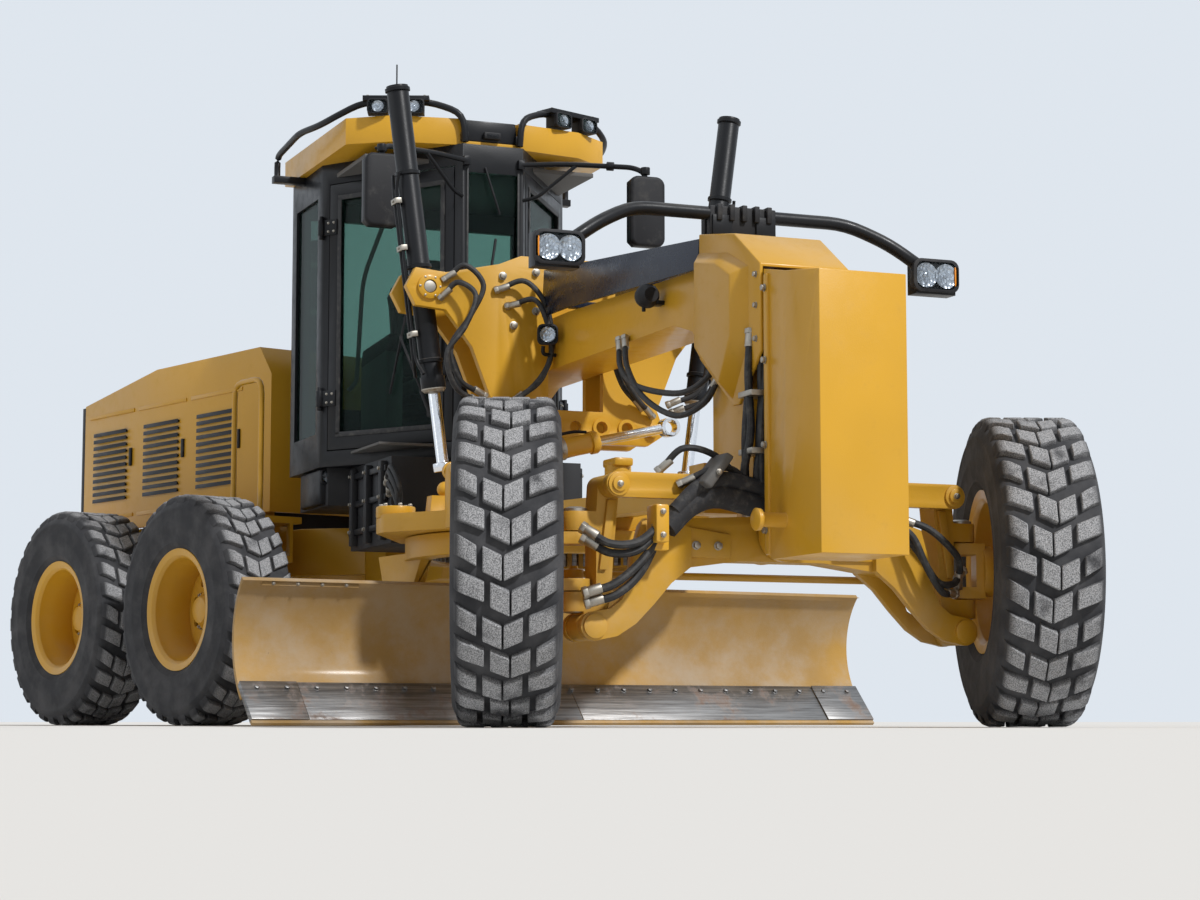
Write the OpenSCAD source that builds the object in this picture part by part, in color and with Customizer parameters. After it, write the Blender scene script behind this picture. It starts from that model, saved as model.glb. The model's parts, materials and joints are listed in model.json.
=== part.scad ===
// Motor grader, parked crabbed: the rear frame is turned at the articulation hinge,
// the front wheels are steered and the blade is angled and side-shifted.
// Millimetres. X forward, Y to the machine's left, Z up from the ground.

/* [Stance] */
// Turn of the rear frame against the front frame, degrees
artic_angle = 16.6; // [0:0.1:18]
// Steering angle of the front wheels, degrees, minus is right
steer_angle = -20; // [-25:0.5:0]
// Turn of the circle and blade, degrees
blade_turn = 7.3; // [0:0.1:12]
// Side shift of the moldboard on its rails
blade_shift = 163; // [100:1:220]

/* [Wheels] */
// Tyre outer diameter
tyre_d = 1350; // [1330:5:1370]
// Tyre section width
tyre_w = 444; // [430:2:450]
// Rim seat diameter under the tyre beads
bead_d = 634; // [620:1:650]
// Rim flange outer diameter
flange_d = 716; // [705:1:730]
// Width between the rim flanges
bead_w = 356; // [340:2:366]
// Wall of the rim barrel
rim_wall = 17; // [12:1:22]
// Thickness of the rim disc
disc_t = 18; // [14:1:24]
// Spindle diameter
spindle_d = 120; // [100:1:130]

/* [Layout] */
// Front axle to the middle of the tandems
wheelbase = 6120; // [6050:5:6200]
// Distance between the two axles of a tandem
tandem_pitch = 1524; // [1500:2:1560]
// Front axle to the articulation hinge
hinge_back = 4550; // [4520:5:4580]
// Front wheel centres, left to right
front_track = 2366; // [2350:2:2400]
// Rear wheel centres, left to right
rear_track = 2140; // [2120:2:2180]
// Sideways distance from king pin to wheel centre
kingpin_offset = 280; // [276:1:290]

/* [Front axle] */
// Height of the axle's oscillation pin
axle_pin_z = 800; // [790:1:810]
// How far the wheel lean pins lie inside the king pins
lean_in = 43; // [40:1:48]
// Height of the wheel lean pins
lean_z = 410; // [405:1:415]
// How far the lean bar's pins lie inside the king pins
bar_in = 123; // [118:1:128]
// Height of the lean bar's pins
bar_z = 985; // [980:1:995]
// Height of the lean bar's section
bar_h = 104; // [90:1:110]

/* [Front frame] */
// Width of the gooseneck box section
beam_w = 300; // [280:2:320]
// Underside of the gooseneck
beam_low = 1800; // [1780:5:1830]
// Top of the gooseneck
beam_top = 2060; // [2040:5:2090]
// Width of the front weight
weight_w = 390; // [370:2:410]
// Front face of the front weight
weight_front = 820; // [800:5:850]
// Top of the front weight
weight_top = 1805; // [1780:5:1820]
// Underside of the front weight
weight_low = 680; // [660:5:700]

/* [Blade] */
// Length of the moldboard
blade_l = 3660; // [3600:10:3700]
// Height of the moldboard's top above the ground
blade_top = 715; // [700:5:730]
// Inner radius of the moldboard's curve
blade_r = 413; // [405:1:425]
// Thickness of the moldboard
blade_t = 22; // [18:1:26]
// Front axle to the circle's centre
circle_back = 2600; // [2580:5:2610]
// Outer diameter of the circle
circle_d = 1530; // [1500:5:1550]
// Circle's underside above the ground
circle_low = 850; // [840:5:870]
// Height of the circle's ring
circle_h = 110; // [90:2:120]

/* [Cab] */
// Half width of the cab
cab_half = 750; // [735:1:760]
// Sill height
sill_z = 1570; // [1550:5:1590]
// Height of the door tops
door_top = 3130; // [3100:5:3150]
// Wall and door thickness
wall = 46; // [40:1:52]
// Glass thickness
glass_t = 8; // [6:1:10]

/* [Hidden] */
$fn = 48;

place_x = 3642;          // moves the middle of the machine's box to the origin
place_y = 44;
paint = [0.83, 0.6, 0.16];
dark = [0.12, 0.12, 0.14];
steel = [0.6, 0.6, 0.62];
rubber = [0.16, 0.16, 0.17];
pane = [0.5, 0.65, 0.7];

axle_z = tyre_d / 2;
wheel_y = front_track / 2;
kingpin_y = wheel_y - kingpin_offset;
lean_y = kingpin_y - lean_in;
bar_y = kingpin_y - bar_in;
fit = 0.3;               // running clearance of a pin or rod, all round
seat = 0.3;              // clearance of a seated curved face

// Frames of reference

module placed() translate([place_x, place_y, 0]) children();

module rear_placed() placed() translate([-hinge_back, 0, 0]) rotate(artic_angle)
    translate([hinge_back, 0, 0]) children();

// side is 1 for left and -1 for right, drawn for the left
module sided(side) {
    if (side > 0) children();
    else mirror([0, 1, 0]) children();
}
module both_sides() {
    children();
    mirror([0, 1, 0]) children();
}

module steered(side) placed() translate([0, side * kingpin_y, 0]) rotate(steer_angle)
    translate([0, -side * kingpin_y, 0]) children();

module blade_placed() placed() translate([-circle_back, 0, 0]) rotate(blade_turn) children();

// Simple solids by their limits

module block(x, y, z) translate([x[0], y[0], z[0]]) cube([x[1] - x[0], y[1] - y[0], z[1] - z[0]]);

module along_x(x, y, z, d) translate([x[0], y, z]) rotate([0, 90, 0]) cylinder(d = d, h = x[1] - x[0]);
module along_y(x, y, z, d) translate([x, y[0], z]) rotate([-90, 0, 0]) cylinder(d = d, h = y[1] - y[0]);
module along_z(x, y, z, d) translate([x, y, z[0]]) cylinder(d = d, h = z[1] - z[0]);

// outline in X and Z, pushed out along Y
module side_plate(points, y) translate([0, y[1], 0]) rotate([90, 0, 0])
    linear_extrude(y[1] - y[0]) polygon(points);
// outline in Y and Z, pushed out along X
module front_plate(points, x) translate([x[0], 0, 0]) rotate([90, 0, 90])
    linear_extrude(x[1] - x[0]) polygon(points);
// outline in X and Y, pushed up along Z
module plan_plate(points, z) translate([0, 0, z[0]]) linear_extrude(z[1] - z[0]) polygon(points);

module rod_between(a, b, d) {
    v = b - a;
    translate(a) rotate([0, acos(v[2] / norm(v)), atan2(v[1], v[0])]) cylinder(d = d, h = norm(v));
}
// a bent tube: corners rounded to about the radius r, swept as rings of flat sides
function unit(v) = v / norm(v);
function corner(a, p, b, r, n) = let (u = unit(a - p), w = unit(b - p),
    t = min(r, norm(a - p) / 2.1, norm(b - p) / 2.1))
    [for (k = [0 : n]) let (f = k / n) (1 - f) * (1 - f) * (p + u * t) + 2 * f * (1 - f) * p + f * f * (p + w * t)];
function bent(points, r, n) = [points[0], for (i = [1 : len(points) - 2]) each corner(points[i - 1],
    points[i], points[i + 1], r, n), points[len(points) - 1]];
module tube_path(points, d, r = 90, n = 4, sides = 12) {
    path = bent(points, r, n);
    last = len(path) - 1;
    ref = unit([0.13, 0.21, 1.0]);
    ring = [for (i = [0 : last]) let (t = unit(path[min(i + 1, last)] - path[max(i - 1, 0)]),
        a = unit(cross(t, abs(t * ref) > 0.95 ? [1, 0, 0] : ref)), b = cross(t, a))
        [for (k = [0 : sides - 1]) path[i] + d / 2 * (cos(360 * k / sides) * a + sin(360 * k / sides) * b)]];
    polyhedron(points = [for (c = ring) each c], faces = concat(
        [[for (k = [0 : sides - 1]) k]],
        [for (i = [0 : last - 1]) for (k = [0 : sides - 1]) let (m = (k + 1) % sides)
            [i * sides + k, (i + 1) * sides + k, (i + 1) * sides + m, i * sides + m]],
        [[for (k = [sides - 1 : -1 : 0]) last * sides + k]]));
}

// Wheels, turned about Y with the outer side towards +Y

module tyre_shape() {
    r0 = bead_d / 2;
    r1 = tyre_d / 2;
    h = tyre_w / 2;
    b = bead_w / 2;
    profile = [[r0, -b], [flange_d / 2 + 1, -b], [flange_d / 2 + 12, -h + 18], [r0 + 160, -h],
        [r0 + 230, -h], [r1 - 62, -h + 10], [r1 - 30, -h + 26], [r1 - 5, -h + 40], [r1, -h + 110],
        [r1, h - 110], [r1 - 5, h - 40], [r1 - 30, h - 26], [r1 - 62, h - 10], [r0 + 230, h],
        [r0 + 160, h], [flange_d / 2 + 12, h - 18], [flange_d / 2 + 1, b], [r0, b]];
    rotate([-90, 0, 0]) rotate_extrude($fn = 96) polygon(profile);
}

// dish is the disc's middle plane measured outwards from the wheel's centre
module rim_shape(dish) {
    ro = flange_d / 2;
    rs = bead_d / 2;
    ri = rs - rim_wall;
    b = bead_w / 2;
    e = b + 14;
    rotate([-90, 0, 0]) difference() {
        union() {
            rotate_extrude($fn = 96) polygon([[ri, -e], [ro, -e], [ro, -b], [rs, -b], [rs, b], [ro, b],
                [ro, e], [ri, e]]);
            translate([0, 0, dish - disc_t / 2]) cylinder(r = ri + 1, h = disc_t, $fn = 96);
            translate([0, 0, dish - 90]) cylinder(d = 230, h = 150);
            translate([0, 0, dish + 59]) cylinder(d1 = 200, d2 = 150, h = 45);
        }
        translate([0, 0, dish - 91]) cylinder(d = spindle_d + 2 * fit, h = 151);
        for (a = [0 : 36 : 324]) rotate(a + 18) translate([215, 0, dish - disc_t]) cylinder(d = 50, h = 2 * disc_t);
    }
}

front_dish = 80;
rear_dish = -60;
rear_y = rear_track / 2;
tandem_z = axle_z;

module front_wheel_at(side) steered(side) translate([0, side * wheel_y, axle_z]) sided(side) children();
module rear_wheel_at(side, end) rear_placed()
    translate([-wheelbase + end * tandem_pitch / 2, side * rear_y, axle_z]) sided(side) children();

module tyre_front_right() color(rubber) front_wheel_at(-1) tyre_shape();
module tyre_front_left() color(rubber) front_wheel_at(1) tyre_shape();
module rim_front_right() color(paint) front_wheel_at(-1) rim_shape(front_dish);
module rim_front_left() color(paint) front_wheel_at(1) rim_shape(front_dish);
module tyre_right_mid() color(rubber) rear_wheel_at(-1, 1) tyre_shape();
module tyre_right_rear() color(rubber) rear_wheel_at(-1, -1) tyre_shape();
module tyre_left_mid() color(rubber) rear_wheel_at(1, 1) tyre_shape();
module tyre_left_rear() color(rubber) rear_wheel_at(1, -1) tyre_shape();
module rim_right_mid() color(paint) rear_wheel_at(-1, 1) rim_shape(rear_dish);
module rim_right_rear() color(paint) rear_wheel_at(-1, -1) rim_shape(rear_dish);
module rim_left_mid() color(paint) rear_wheel_at(1, 1) rim_shape(rear_dish);
module rim_left_rear() color(paint) rear_wheel_at(1, -1) rim_shape(rear_dish);

// Tandem cases: a chain case with a spindle at each end, on a pivot tube from the axle

case_in = rear_y - 470;   // inner face of the tandem case
case_out = rear_y - 270;
pivot_d = 330;

module tandem_shape() {
    half = tandem_pitch / 2;
    difference() {
        union() {
            side_plate([[-half - 90, axle_z - 150], [-half + 40, axle_z - 230], [half - 40, axle_z - 230],
                [half + 90, axle_z - 150], [half + 190, axle_z], [half + 90, axle_z + 150],
                [half - 150, axle_z + 200], [240, axle_z + 270], [-240, axle_z + 270],
                [-half + 150, axle_z + 200], [-half - 90, axle_z + 150], [-half - 190, axle_z]],
                [case_in, case_out]);
            for (end = [-1, 1]) {
                along_y(end * half, [case_out, case_out + 60], axle_z, 260);
                along_y(end * half, [case_out, rear_y + rear_dish + 55], axle_z, spindle_d);
            }
        }
        along_y(0, [case_in - 1, case_in + 120], axle_z, pivot_d + 2 * fit);
    }
}
module tandem_right() color(paint) rear_placed() translate([-wheelbase, 0, 0]) sided(-1) tandem_shape();
module tandem_left() color(paint) rear_placed() translate([-wheelbase, 0, 0]) sided(1) tandem_shape();

module rear_axle() color(paint) rear_placed() translate([-wheelbase, 0, 0]) {
    along_y(0, [-case_in + 6, case_in - 6], axle_z, 380);
    along_y(0, [-case_in - 118, case_in + 118], axle_z, pivot_d);
    block([-260, 260], [-240, 240], [axle_z - 230, axle_z + 200]);
    both_sides() block([-230, 230], [330, 470], [axle_z + 150, 900 - seat]);
}

// Rear frame: two rails, cross members, hitch lugs and a bumper with the fuel tank

rail_y = 400;
rail_w = 110;
rail_in = rail_y - rail_w / 2;
rail_z = [900, 1180];
rear_end = wheelbase + 1930;
hitch_x = -hinge_back;
hitch_pin_d = 110;
hitch_upper = [1170, 1250];
hitch_lower = [700, 780];

hitch_block = [hitch_x - 420, hitch_x - 200];
bumper_x = [-rear_end, -rear_end + 120];
module rear_rails() color(paint) rear_placed() both_sides() plan_plate([[bumper_x[1] + seat, rail_in],
    [-5300, rail_in], [hitch_block[0] - seat, 100], [hitch_block[0] - seat, 210], [-5300, rail_in + rail_w],
    [bumper_x[1] + seat, rail_in + rail_w]], rail_z);

// the hitch block, the cross members and tank between the rails, and the bumper
module rear_frame() color(paint) rear_placed() {
    difference() {
        union() {
            block(hitch_block, [-210, 210], [740, 1210]);
            for (z = [hitch_upper, hitch_lower]) plan_plate([[hitch_block[1] - 10, -200], [hitch_block[1] - 10, 200],
                [hitch_x, 120], [hitch_x, -120]], z);
            for (z = [hitch_upper, hitch_lower]) along_z(hitch_x, 0, z, 240);
        }
        for (z = [hitch_upper, hitch_lower]) along_z(hitch_x, 0, [z[0] - 1, z[1] + 1], hitch_pin_d + 2 * fit);
    }
    block([-rear_end + 250, -rear_end + 650], [-rail_in + seat, rail_in - seat], [760, 1160]);
    for (x = [-5700, -6900]) block([x, x + 140], [-rail_in + seat, rail_in - seat], rail_z);
    block(bumper_x, [-700, 700], [800, 1230]);
    difference() {
        block([bumper_x[0] - 130, bumper_x[0] + 1], [-90, 90], [860, 960]);
        along_z(bumper_x[0] - 70, 0, [800, 1000], 50);
    }
}

module engine() color(dark) rear_placed() block([-7250, -5950], [-330, 330], [rail_z[1] + seat, 1950]);

hood_w = 520;
hood_wall = 40;
hood_x = [-rear_end + 50, -5560];
hood_low = 1300;
hood_top = 2330;
hood_foot_w = 100;
module engine_hood() color(paint) rear_placed() {
    difference() {
        side_plate([[hood_x[1], hood_low], [hood_x[1], 2150], [-5700, hood_top], [-7000, hood_top],
            [hood_x[0], 2180], [hood_x[0], hood_low]], [-hood_w, hood_w]);
        side_plate([[-5600, hood_low - 1], [-5600, 2130], [-5720, hood_top - hood_wall],
            [-7000, hood_top - hood_wall], [hood_x[0] - 1, 2180 - hood_wall], [hood_x[0] - 1, hood_low - 1]],
            [-hood_w + hood_wall, hood_w - hood_wall]);
    }
    // feet inside the skirts stand on the rails
    both_sides() for (x = [-5800, -6700, -rear_end + 350]) block([x, x + hood_foot_w],
        [rail_y, hood_w - hood_wall + 1], [rail_z[1] + seat, hood_low + 60]);
}

module radiator_grille() color(dark) rear_placed() {
    difference() {
        block([hood_x[0] - 40, hood_x[0] - seat], [-hood_w, hood_w], [1290, 2170]);
        block([hood_x[0] - 41, hood_x[0]], [-hood_w + 60, hood_w - 60], [1350, 2110]);
    }
    for (i = [0 : 11]) block([hood_x[0] - 36, hood_x[0] - 6], [-hood_w + 50, hood_w - 50], [1370 + i * 62, 1392 + i * 62]);
}

module exhaust_stack() color(dark) rear_placed() translate([-6350, 300, 0]) {
    along_z(0, 0, [hood_top + seat, 2420], 200);
    along_z(0, 0, [2419, 3180], 130);
}

walk_z = 1240;
walk_out = 820;
step_z = 965;
module walkways() color(paint) rear_placed() both_sides() {
    block([-rear_end + 150, -5190], [hood_w + seat, walk_out], [walk_z - 40, walk_z]);
    for (x = [-5560, -rear_end + 550]) block([x, x + 120], [rail_y + rail_w / 2 + seat, hood_w + 40],
        [1000, walk_z - 39]);
    tube_path([[-5215, walk_out - 25, walk_z - 10], [-5215, walk_out - 25, 2060], [-5560, walk_out - 45, 2060],
        [-5560, walk_out - 45, walk_z - 10]], 34);
    // its step hangs clear of the tandem's nose when that swings up
    block([-5230, -5190], [600, 790], [step_z, step_z + 40]);
    block([-5230, -5190], [580, 601], [step_z, walk_z - 39]);
    block([-5230, -5190], [789, 810], [step_z, walk_z - 39]);
}

// Front frame

column_x = [-280, 118];
bar_ball_x = -420;       // ball joint at the drawbar's nose
bar_ball_z = 1040;
ball_stud = 130;         // reach of its stud, from the ball's centre
module front_frame() color(paint) placed() difference() {
    union() {
        side_plate([[-4400, 830], [-3980, 830], [-3640, 1330], [-3480, 1500], [-3330, 1620], [-3120, 1720],
            [-2900, beam_low],
            [-700, beam_low], [-500, 1745], [-350, 1620], [-280, 1450], [-280, 950], [118, 950], [118, 1700],
            [40, 1900], [-120, 2000], [-2000, beam_top], [-3150, beam_top], [-3420, 1980], [-3530, 1800],
            [-3540, sill_z - 110], [-3900, 1330], [-4400, 1130]], [-beam_w / 2, beam_w / 2]);
        for (z = [[790, 862], [1088, 1160]]) along_z(hitch_x, 0, z, 230);
        for (z = [[790, 862], [1088, 1160]]) plan_plate([[-4398, -150], [-4398, 150], [hitch_x, 115],
            [hitch_x, -115]], z);
        along_z(hitch_x, 0, [790, 1160], 180);
        along_z(hitch_x, 0, [hitch_lower[0] - 20, hitch_upper[1] + 20], hitch_pin_d);
        for (x = [[78, 118], [-130, -78]]) {
            block(x, [-110, 110], [axle_pin_z, 951]);
            along_x(x, 0, axle_pin_z, 220);
        }
        along_x([-130, 118], 0, axle_pin_z, 100);
        // bracket of the front weight
        block([118, weight_back - seat], [-100, 100], [1150, 1640]);
        // socket of the drawbar's ball stud, hollowed about the ball's upright axis
        difference() {
            block([column_x[0] - 30, column_x[0] + 1], [-60, 60], [bar_ball_z - 70, bar_ball_z + 70]);
            along_z(bar_ball_x, 0, [bar_ball_z - 71, bar_ball_z + 71], 2 * (ball_stud + seat), $fn = 96);
        }
    }
}

arm_x = [[-2565, -2520], [-2325, -2280]];
saddle_low = 1435;       // clear of the drawbar at full lift
shift_x = -2060;         // plane of the centre shift cylinder
yoke_y = 790;
yoke_z = 2190;
module saddle() color(paint) placed() {
    both_sides() for (x = arm_x) difference() {
        front_plate([[0, beam_top + seat], [beam_w / 2 + seat, beam_top + seat], [beam_w / 2 + seat, 1600],
            [0, 1600], [0, saddle_low], [400, saddle_low], [500, 1500],
            [450, 1620], [560, 1900], [700, 2080], [860, 2095], [910, 2190], [860, 2285], [700, 2270],
            [420, 2330], [300, 2380], [0, 2380]], x);
        along_x([x[0] - 1, x[1] + 1], yoke_y, yoke_z, 60 + 2 * fit);
        for (y = [0, 140, 280]) along_x([x[0] - 1, x[1] + 1], y, saddle_low + 85, 60);
    }
    both_sides() block([arm_x[0][1] - 1, arm_x[1][0] + 1], [330, 420], [1800, 2250]);
    block([arm_x[0][1] - 1, arm_x[1][0] + 1], [-300, 300], [2300, 2370]);
    // boss of the centre shift cylinder's rod
    along_x([arm_x[1][1] - 1, arm_x[1][1] + 28], shift_b[1], shift_b[2], 60);
}

weight_back = 320;
nose_end = weight_back - 10;
module nose_cover() color(paint) placed() {
    both_sides() side_plate([[-300, 1590], [-300, 2140], [60, 2080], [nose_end, 1912], [nose_end, 1545], [100, 1345],
        [40, 1345]], [190, 206]);
    side_plate([[-300, 2124], [60, 2064], [nose_end, 1896], [nose_end, 1912], [60, 2080], [-300, 2140]], [-206, 206]);
    block([-120, 100], [-190, -150], [1860, 1890]);
    block([-120, 100], [150, 190], [1860, 1890]);
}

module front_weight() color(paint) placed() {
    w = weight_w / 2;
    side_plate([[weight_back, weight_low + 60], [weight_back, weight_top + 80], [520, weight_top + 40],
        [weight_front, weight_top], [weight_front, weight_low], [380, weight_low]], [-w, w]);
    both_sides() along_y(500, [w - 1, w + 110], 830, 60);
    both_sides() along_y(500, [w + 110, w + 125], 830, 90);
}

// height of the beam's sloping top ahead of the saddle
function beam_z(x) = beam_top - (x + 2000) * (beam_top - 2000) / 1880;
module side_covers() color(dark) placed() {
    both_sides() side_plate([[-2230, 2065], [-2200, 2300], [-300 - seat, 2120], [-310, 1990], [-1900, 2062]], [190, 206]);
    side_plate([[-3440, 2065], [-3440, 2420], [-3300, 2450], [-2600, 2400], [-2600, 2385], [-3290, 2430],
        [-3420, 2400], [-3420, 2065]], [-260, 260]);
    // its feet stand on the beam
    for (x = [-2640, -3140]) block([x, x + 20], [-120, 120], [beam_top + seat, 2395]);
    for (x = [-1900, -1000, -500]) block([x, x + 60], [-191, 191], [beam_z(x) + seat, beam_z(x) + 30]);
}

module headlight_bar() color(dark) placed() {
    tube_path([[-210, -830, 2060], [-240, -700, 2150], [-310, -520, 2240], [-310, 520, 2240],
        [-240, 700, 2150], [-210, 830, 2060]], 60);
    both_sides() block([-350, -270], [60, 150], [2140, 2230]);
    both_sides() {
        block([-270, -190], [810, 1010], [1930, 2080]);
    }
}

// Cab

cab_front_x = -3550;
cab_front_y = 180;
pillar_x = -4400;
cab_rear_x = -5050;
cab_low = sill_z - 90;
cab_high = door_top + 120;
door_pin_d = 24;
door_hinge_z = [sill_z + 260, door_top - 300];

function cab_plan(inset) = [[cab_front_x - inset, -cab_front_y + inset * 0.3], [cab_front_x - inset, cab_front_y - inset * 0.3],
    [pillar_x - inset * 0.35, cab_half - inset], [cab_rear_x + inset, cab_half - inset],
    [cab_rear_x + inset, -cab_half + inset], [pillar_x - inset * 0.35, -cab_half + inset]];

// the door's plane: origin at the hinge, X along the door to the front edge, Y outwards, for the left side
door_run = norm([cab_front_x - pillar_x, cab_half - cab_front_y]);
door_slant = atan2(cab_half - cab_front_y, cab_front_x - pillar_x);
module door_plane(side) placed() sided(side) translate([pillar_x, cab_half, 0]) rotate(-door_slant) children();

module cab_frame() color(dark) {
    placed() difference() {
        plan_plate(cab_plan(0), [cab_low, cab_high]);
        plan_plate(cab_plan(wall), [cab_low + 60, door_top + 60]);
        block([cab_front_x - 2 * wall, cab_front_x + 1], [-cab_front_y + 22, cab_front_y - 22], [sill_z + 330, door_top - 40]);
        block([cab_rear_x - 1, cab_rear_x + wall + 1], [-cab_half + 100, cab_half - 100], [sill_z + 330, door_top - 80]);
        both_sides() block([cab_rear_x + 90, pillar_x - 90], [cab_half - wall - 1, cab_half + 1], [sill_z + 110, door_top - 60]);
        both_sides() translate([pillar_x, cab_half, 0]) rotate(-door_slant)
            block([55, door_run - 55], [-wall - 60, 60], [sill_z, door_top]);
    }
    for (side = [-1, 1]) door_plane(side) for (z = door_hinge_z) {
        along_z(10, 20, [z - 22, z + 112], door_pin_d);
        for (lug = [z - 22, z + 92]) block([0, 18], [-5, 24], [lug, lug + 20]);
    }
}

module cab_glass() color(pane) placed() {
    block([cab_front_x - 30, cab_front_x - 30 + glass_t], [-cab_front_y + 22, cab_front_y - 22], [sill_z + 330, door_top - 40]);
    block([cab_rear_x + 20, cab_rear_x + 20 + glass_t], [-cab_half + 100, cab_half - 100], [sill_z + 330, door_top - 80]);
    both_sides() block([cab_rear_x + 90, pillar_x - 90], [cab_half - 24, cab_half - 24 + glass_t], [sill_z + 110, door_top - 60]);
}

door_gap = 6;
module door_frame() {
    difference() {
        block([55 + door_gap, door_run - 55 - door_gap], [-wall + 4, 2], [sill_z + door_gap, door_top - door_gap]);
        block([55 + 80, door_run - 55 - 80], [-wall, 3], [sill_z + 90, door_top - 85]);
    }
    for (z = door_hinge_z) difference() {
        union() {
            block([20, 120], [2 - 1, 14], [z, z + 90]);
            along_z(10, 20, [z, z + 90], 38);
        }
        along_z(10, 20, [z - 1, z + 91], door_pin_d + 2 * fit);
    }
}
module door_right() color(dark) door_plane(-1) door_frame();
module door_left() color(dark) door_plane(1) door_frame();
module door_glass_shape() block([55 + 80, door_run - 55 - 80], [-22, -22 + glass_t], [sill_z + 90, door_top - 85]);
module door_right_glass() color(pane) door_plane(-1) door_glass_shape();
module door_left_glass() color(pane) door_plane(1) door_glass_shape();

// the roof overhangs the slanted doors: its front corners are wide of the windshield
roof_edge = cab_high + 150;
roof_crown = roof_edge + 50;
roof_out = 50;           // overhang past the cab's sides
roof_half = [[-3590, 170], [-3660, 560], [-3830, cab_half + roof_out - 20], [-5060, cab_half + roof_out]];
visor_y = 165;
module cab_roof() color(paint) placed() {
    plan = concat(roof_half, [for (k = [3 : -1 : 0]) [roof_half[k][0], -roof_half[k][1]]]);
    mid = [-4330, 0];
    difference() {
        plan_plate(plan, [cab_high + seat, roof_edge]);
        // recess of the visor
        block([-3615, -3580], [-visor_y, visor_y], [cab_high + 25, roof_edge + 1]);
    }
    translate([mid[0], mid[1], roof_edge - 1]) linear_extrude(roof_crown - roof_edge, scale = 0.6)
        polygon([for (p = plan) [(p[0] - mid[0]) * 0.97, (p[1] - mid[1]) * 0.97]]);
}

module cab_base() color(dark) placed() {
    both_sides() block([-4390, -3620], [beam_w / 2 + seat, 560], [1000, cab_low - seat]);
    // above the rear frame's hitch, which swings below it
    both_sides() block([-4980, -4389], [beam_w / 2 + 60, 700], [1262, cab_low - seat]);
}

module seat() color(dark) placed() {
    block([-4750, -4250], [-260, 260], [cab_low + 60 + seat, 1900]);
    block([-4760, -4240], [-260, 260], [1900, 2030]);
    side_plate([[-4740, 2030], [-4860, 2650], [-4760, 2660], [-4630, 2030]], [-240, 240]);
    block([-4850, -4760], [-130, 130], [2660, 2830]);
}

module controls() color(dark) placed() {
    both_sides() block([-4650, -4150], [330, 430], [cab_low + 60 + seat, 2150]);
    block([-3900, -3780], [-110, 110], [cab_low + 60 + seat, 2200]);
}

light_z = 3490;          // underside of the plates over the work lamps
light_turn = 21.5;       // they face this far outwards
mirror_z = 2856;
module light_frames() color(dark) placed() {
    foot_x = roof_half[0][0] + 30;
    rear_x = -4790;
    out_y = cab_half + 170;
    both_sides() {
        tube_path([[foot_x, 163, cab_high + 12], [foot_x, 175, roof_edge + 22],
            [-3646, 347, light_z + 5],
            [-3782, 693, light_z], [-3880, 815, 3425], [-4050, 870, 3400], [-4300, out_y, 3405],
            [rear_x, out_y, 3370], [rear_x, out_y, cab_high - 20]], 38);
        block([roof_half[0][0] + seat, foot_x], [143, 183], [cab_high + 20, cab_high + 70]);
        block([rear_x - 30, rear_x + 30], [cab_half + seat, out_y + 25], [cab_high - 40, cab_high]);
        translate([-3714, 520, 0]) rotate(light_turn) {
            block([-70, 60], [-186, 186], [light_z - 2, light_z + 25]);
            for (y = [-100, 100]) block([-20, 60], [y - 58, y + 58], [light_z - 76, light_z]);
        }
        // mirror arm on the front pillar, with its mirror
        block([cab_front_x + seat, cab_front_x + 30], [144, 180], [3125, 3175]);
        tube_path([[cab_front_x + 15, 162, 3150], [-3440, 380, 3155], [-3230, 720, 3120],
            [-3171, 770, 3080], [-3171, 770, mirror_z]], 30);
        translate([-3171, 770, mirror_z]) front_plate([[-98, -170], [-70, -196], [70, -196], [98, -170],
            [98, 170], [70, 196], [-70, 196], [-98, 170]], [-38, -8]);
    }
    along_z(-4413, -300, [roof_crown - 1 + seat, roof_crown + 40], 44);
    along_z(-4413, -300, [roof_crown + 39, 3900], 9);
}

// Front axle

// outline of an arm, from its lean pin inwards, cut back where the steering arms swing
function axle_arm(relief) = [[-430, 660], [-340, 590], [-260, 500], [-180, 420], [-100, 370], [0, lean_z - 60],
    [60, lean_z], [0, lean_z + 60], [-70 - relief * 0.4, 482 - relief * 0.4], [-120 - relief, 520 - relief * 0.3],
    [-160 - relief, 600], [-170 - relief, 700], [-210 - relief, 840], [-300, 870], [-430, 820]];
module front_axle() color(paint) placed() difference() {
    union() {
        front_plate([[-lean_y + 300, 640], [-200, 690], [200, 690], [lean_y - 300, 640], [lean_y - 295, 855],
            [120, 880], [-120, 880], [-lean_y + 295, 855]], [-70, 70]);
        both_sides() translate([0, lean_y, 0]) {
            front_plate(axle_arm(0), [70, 108]);
            front_plate(axle_arm(65), [-108, -70]);
        }
        both_sides() along_x([-108, 108], lean_y, lean_z, 50);
        both_sides() for (x = [[70, 108], [-108, -70]]) along_x(x, lean_y, lean_z, 120);
    }
    along_x([-71, 71], 0, axle_pin_z, 100 + 2 * fit);
}

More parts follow.
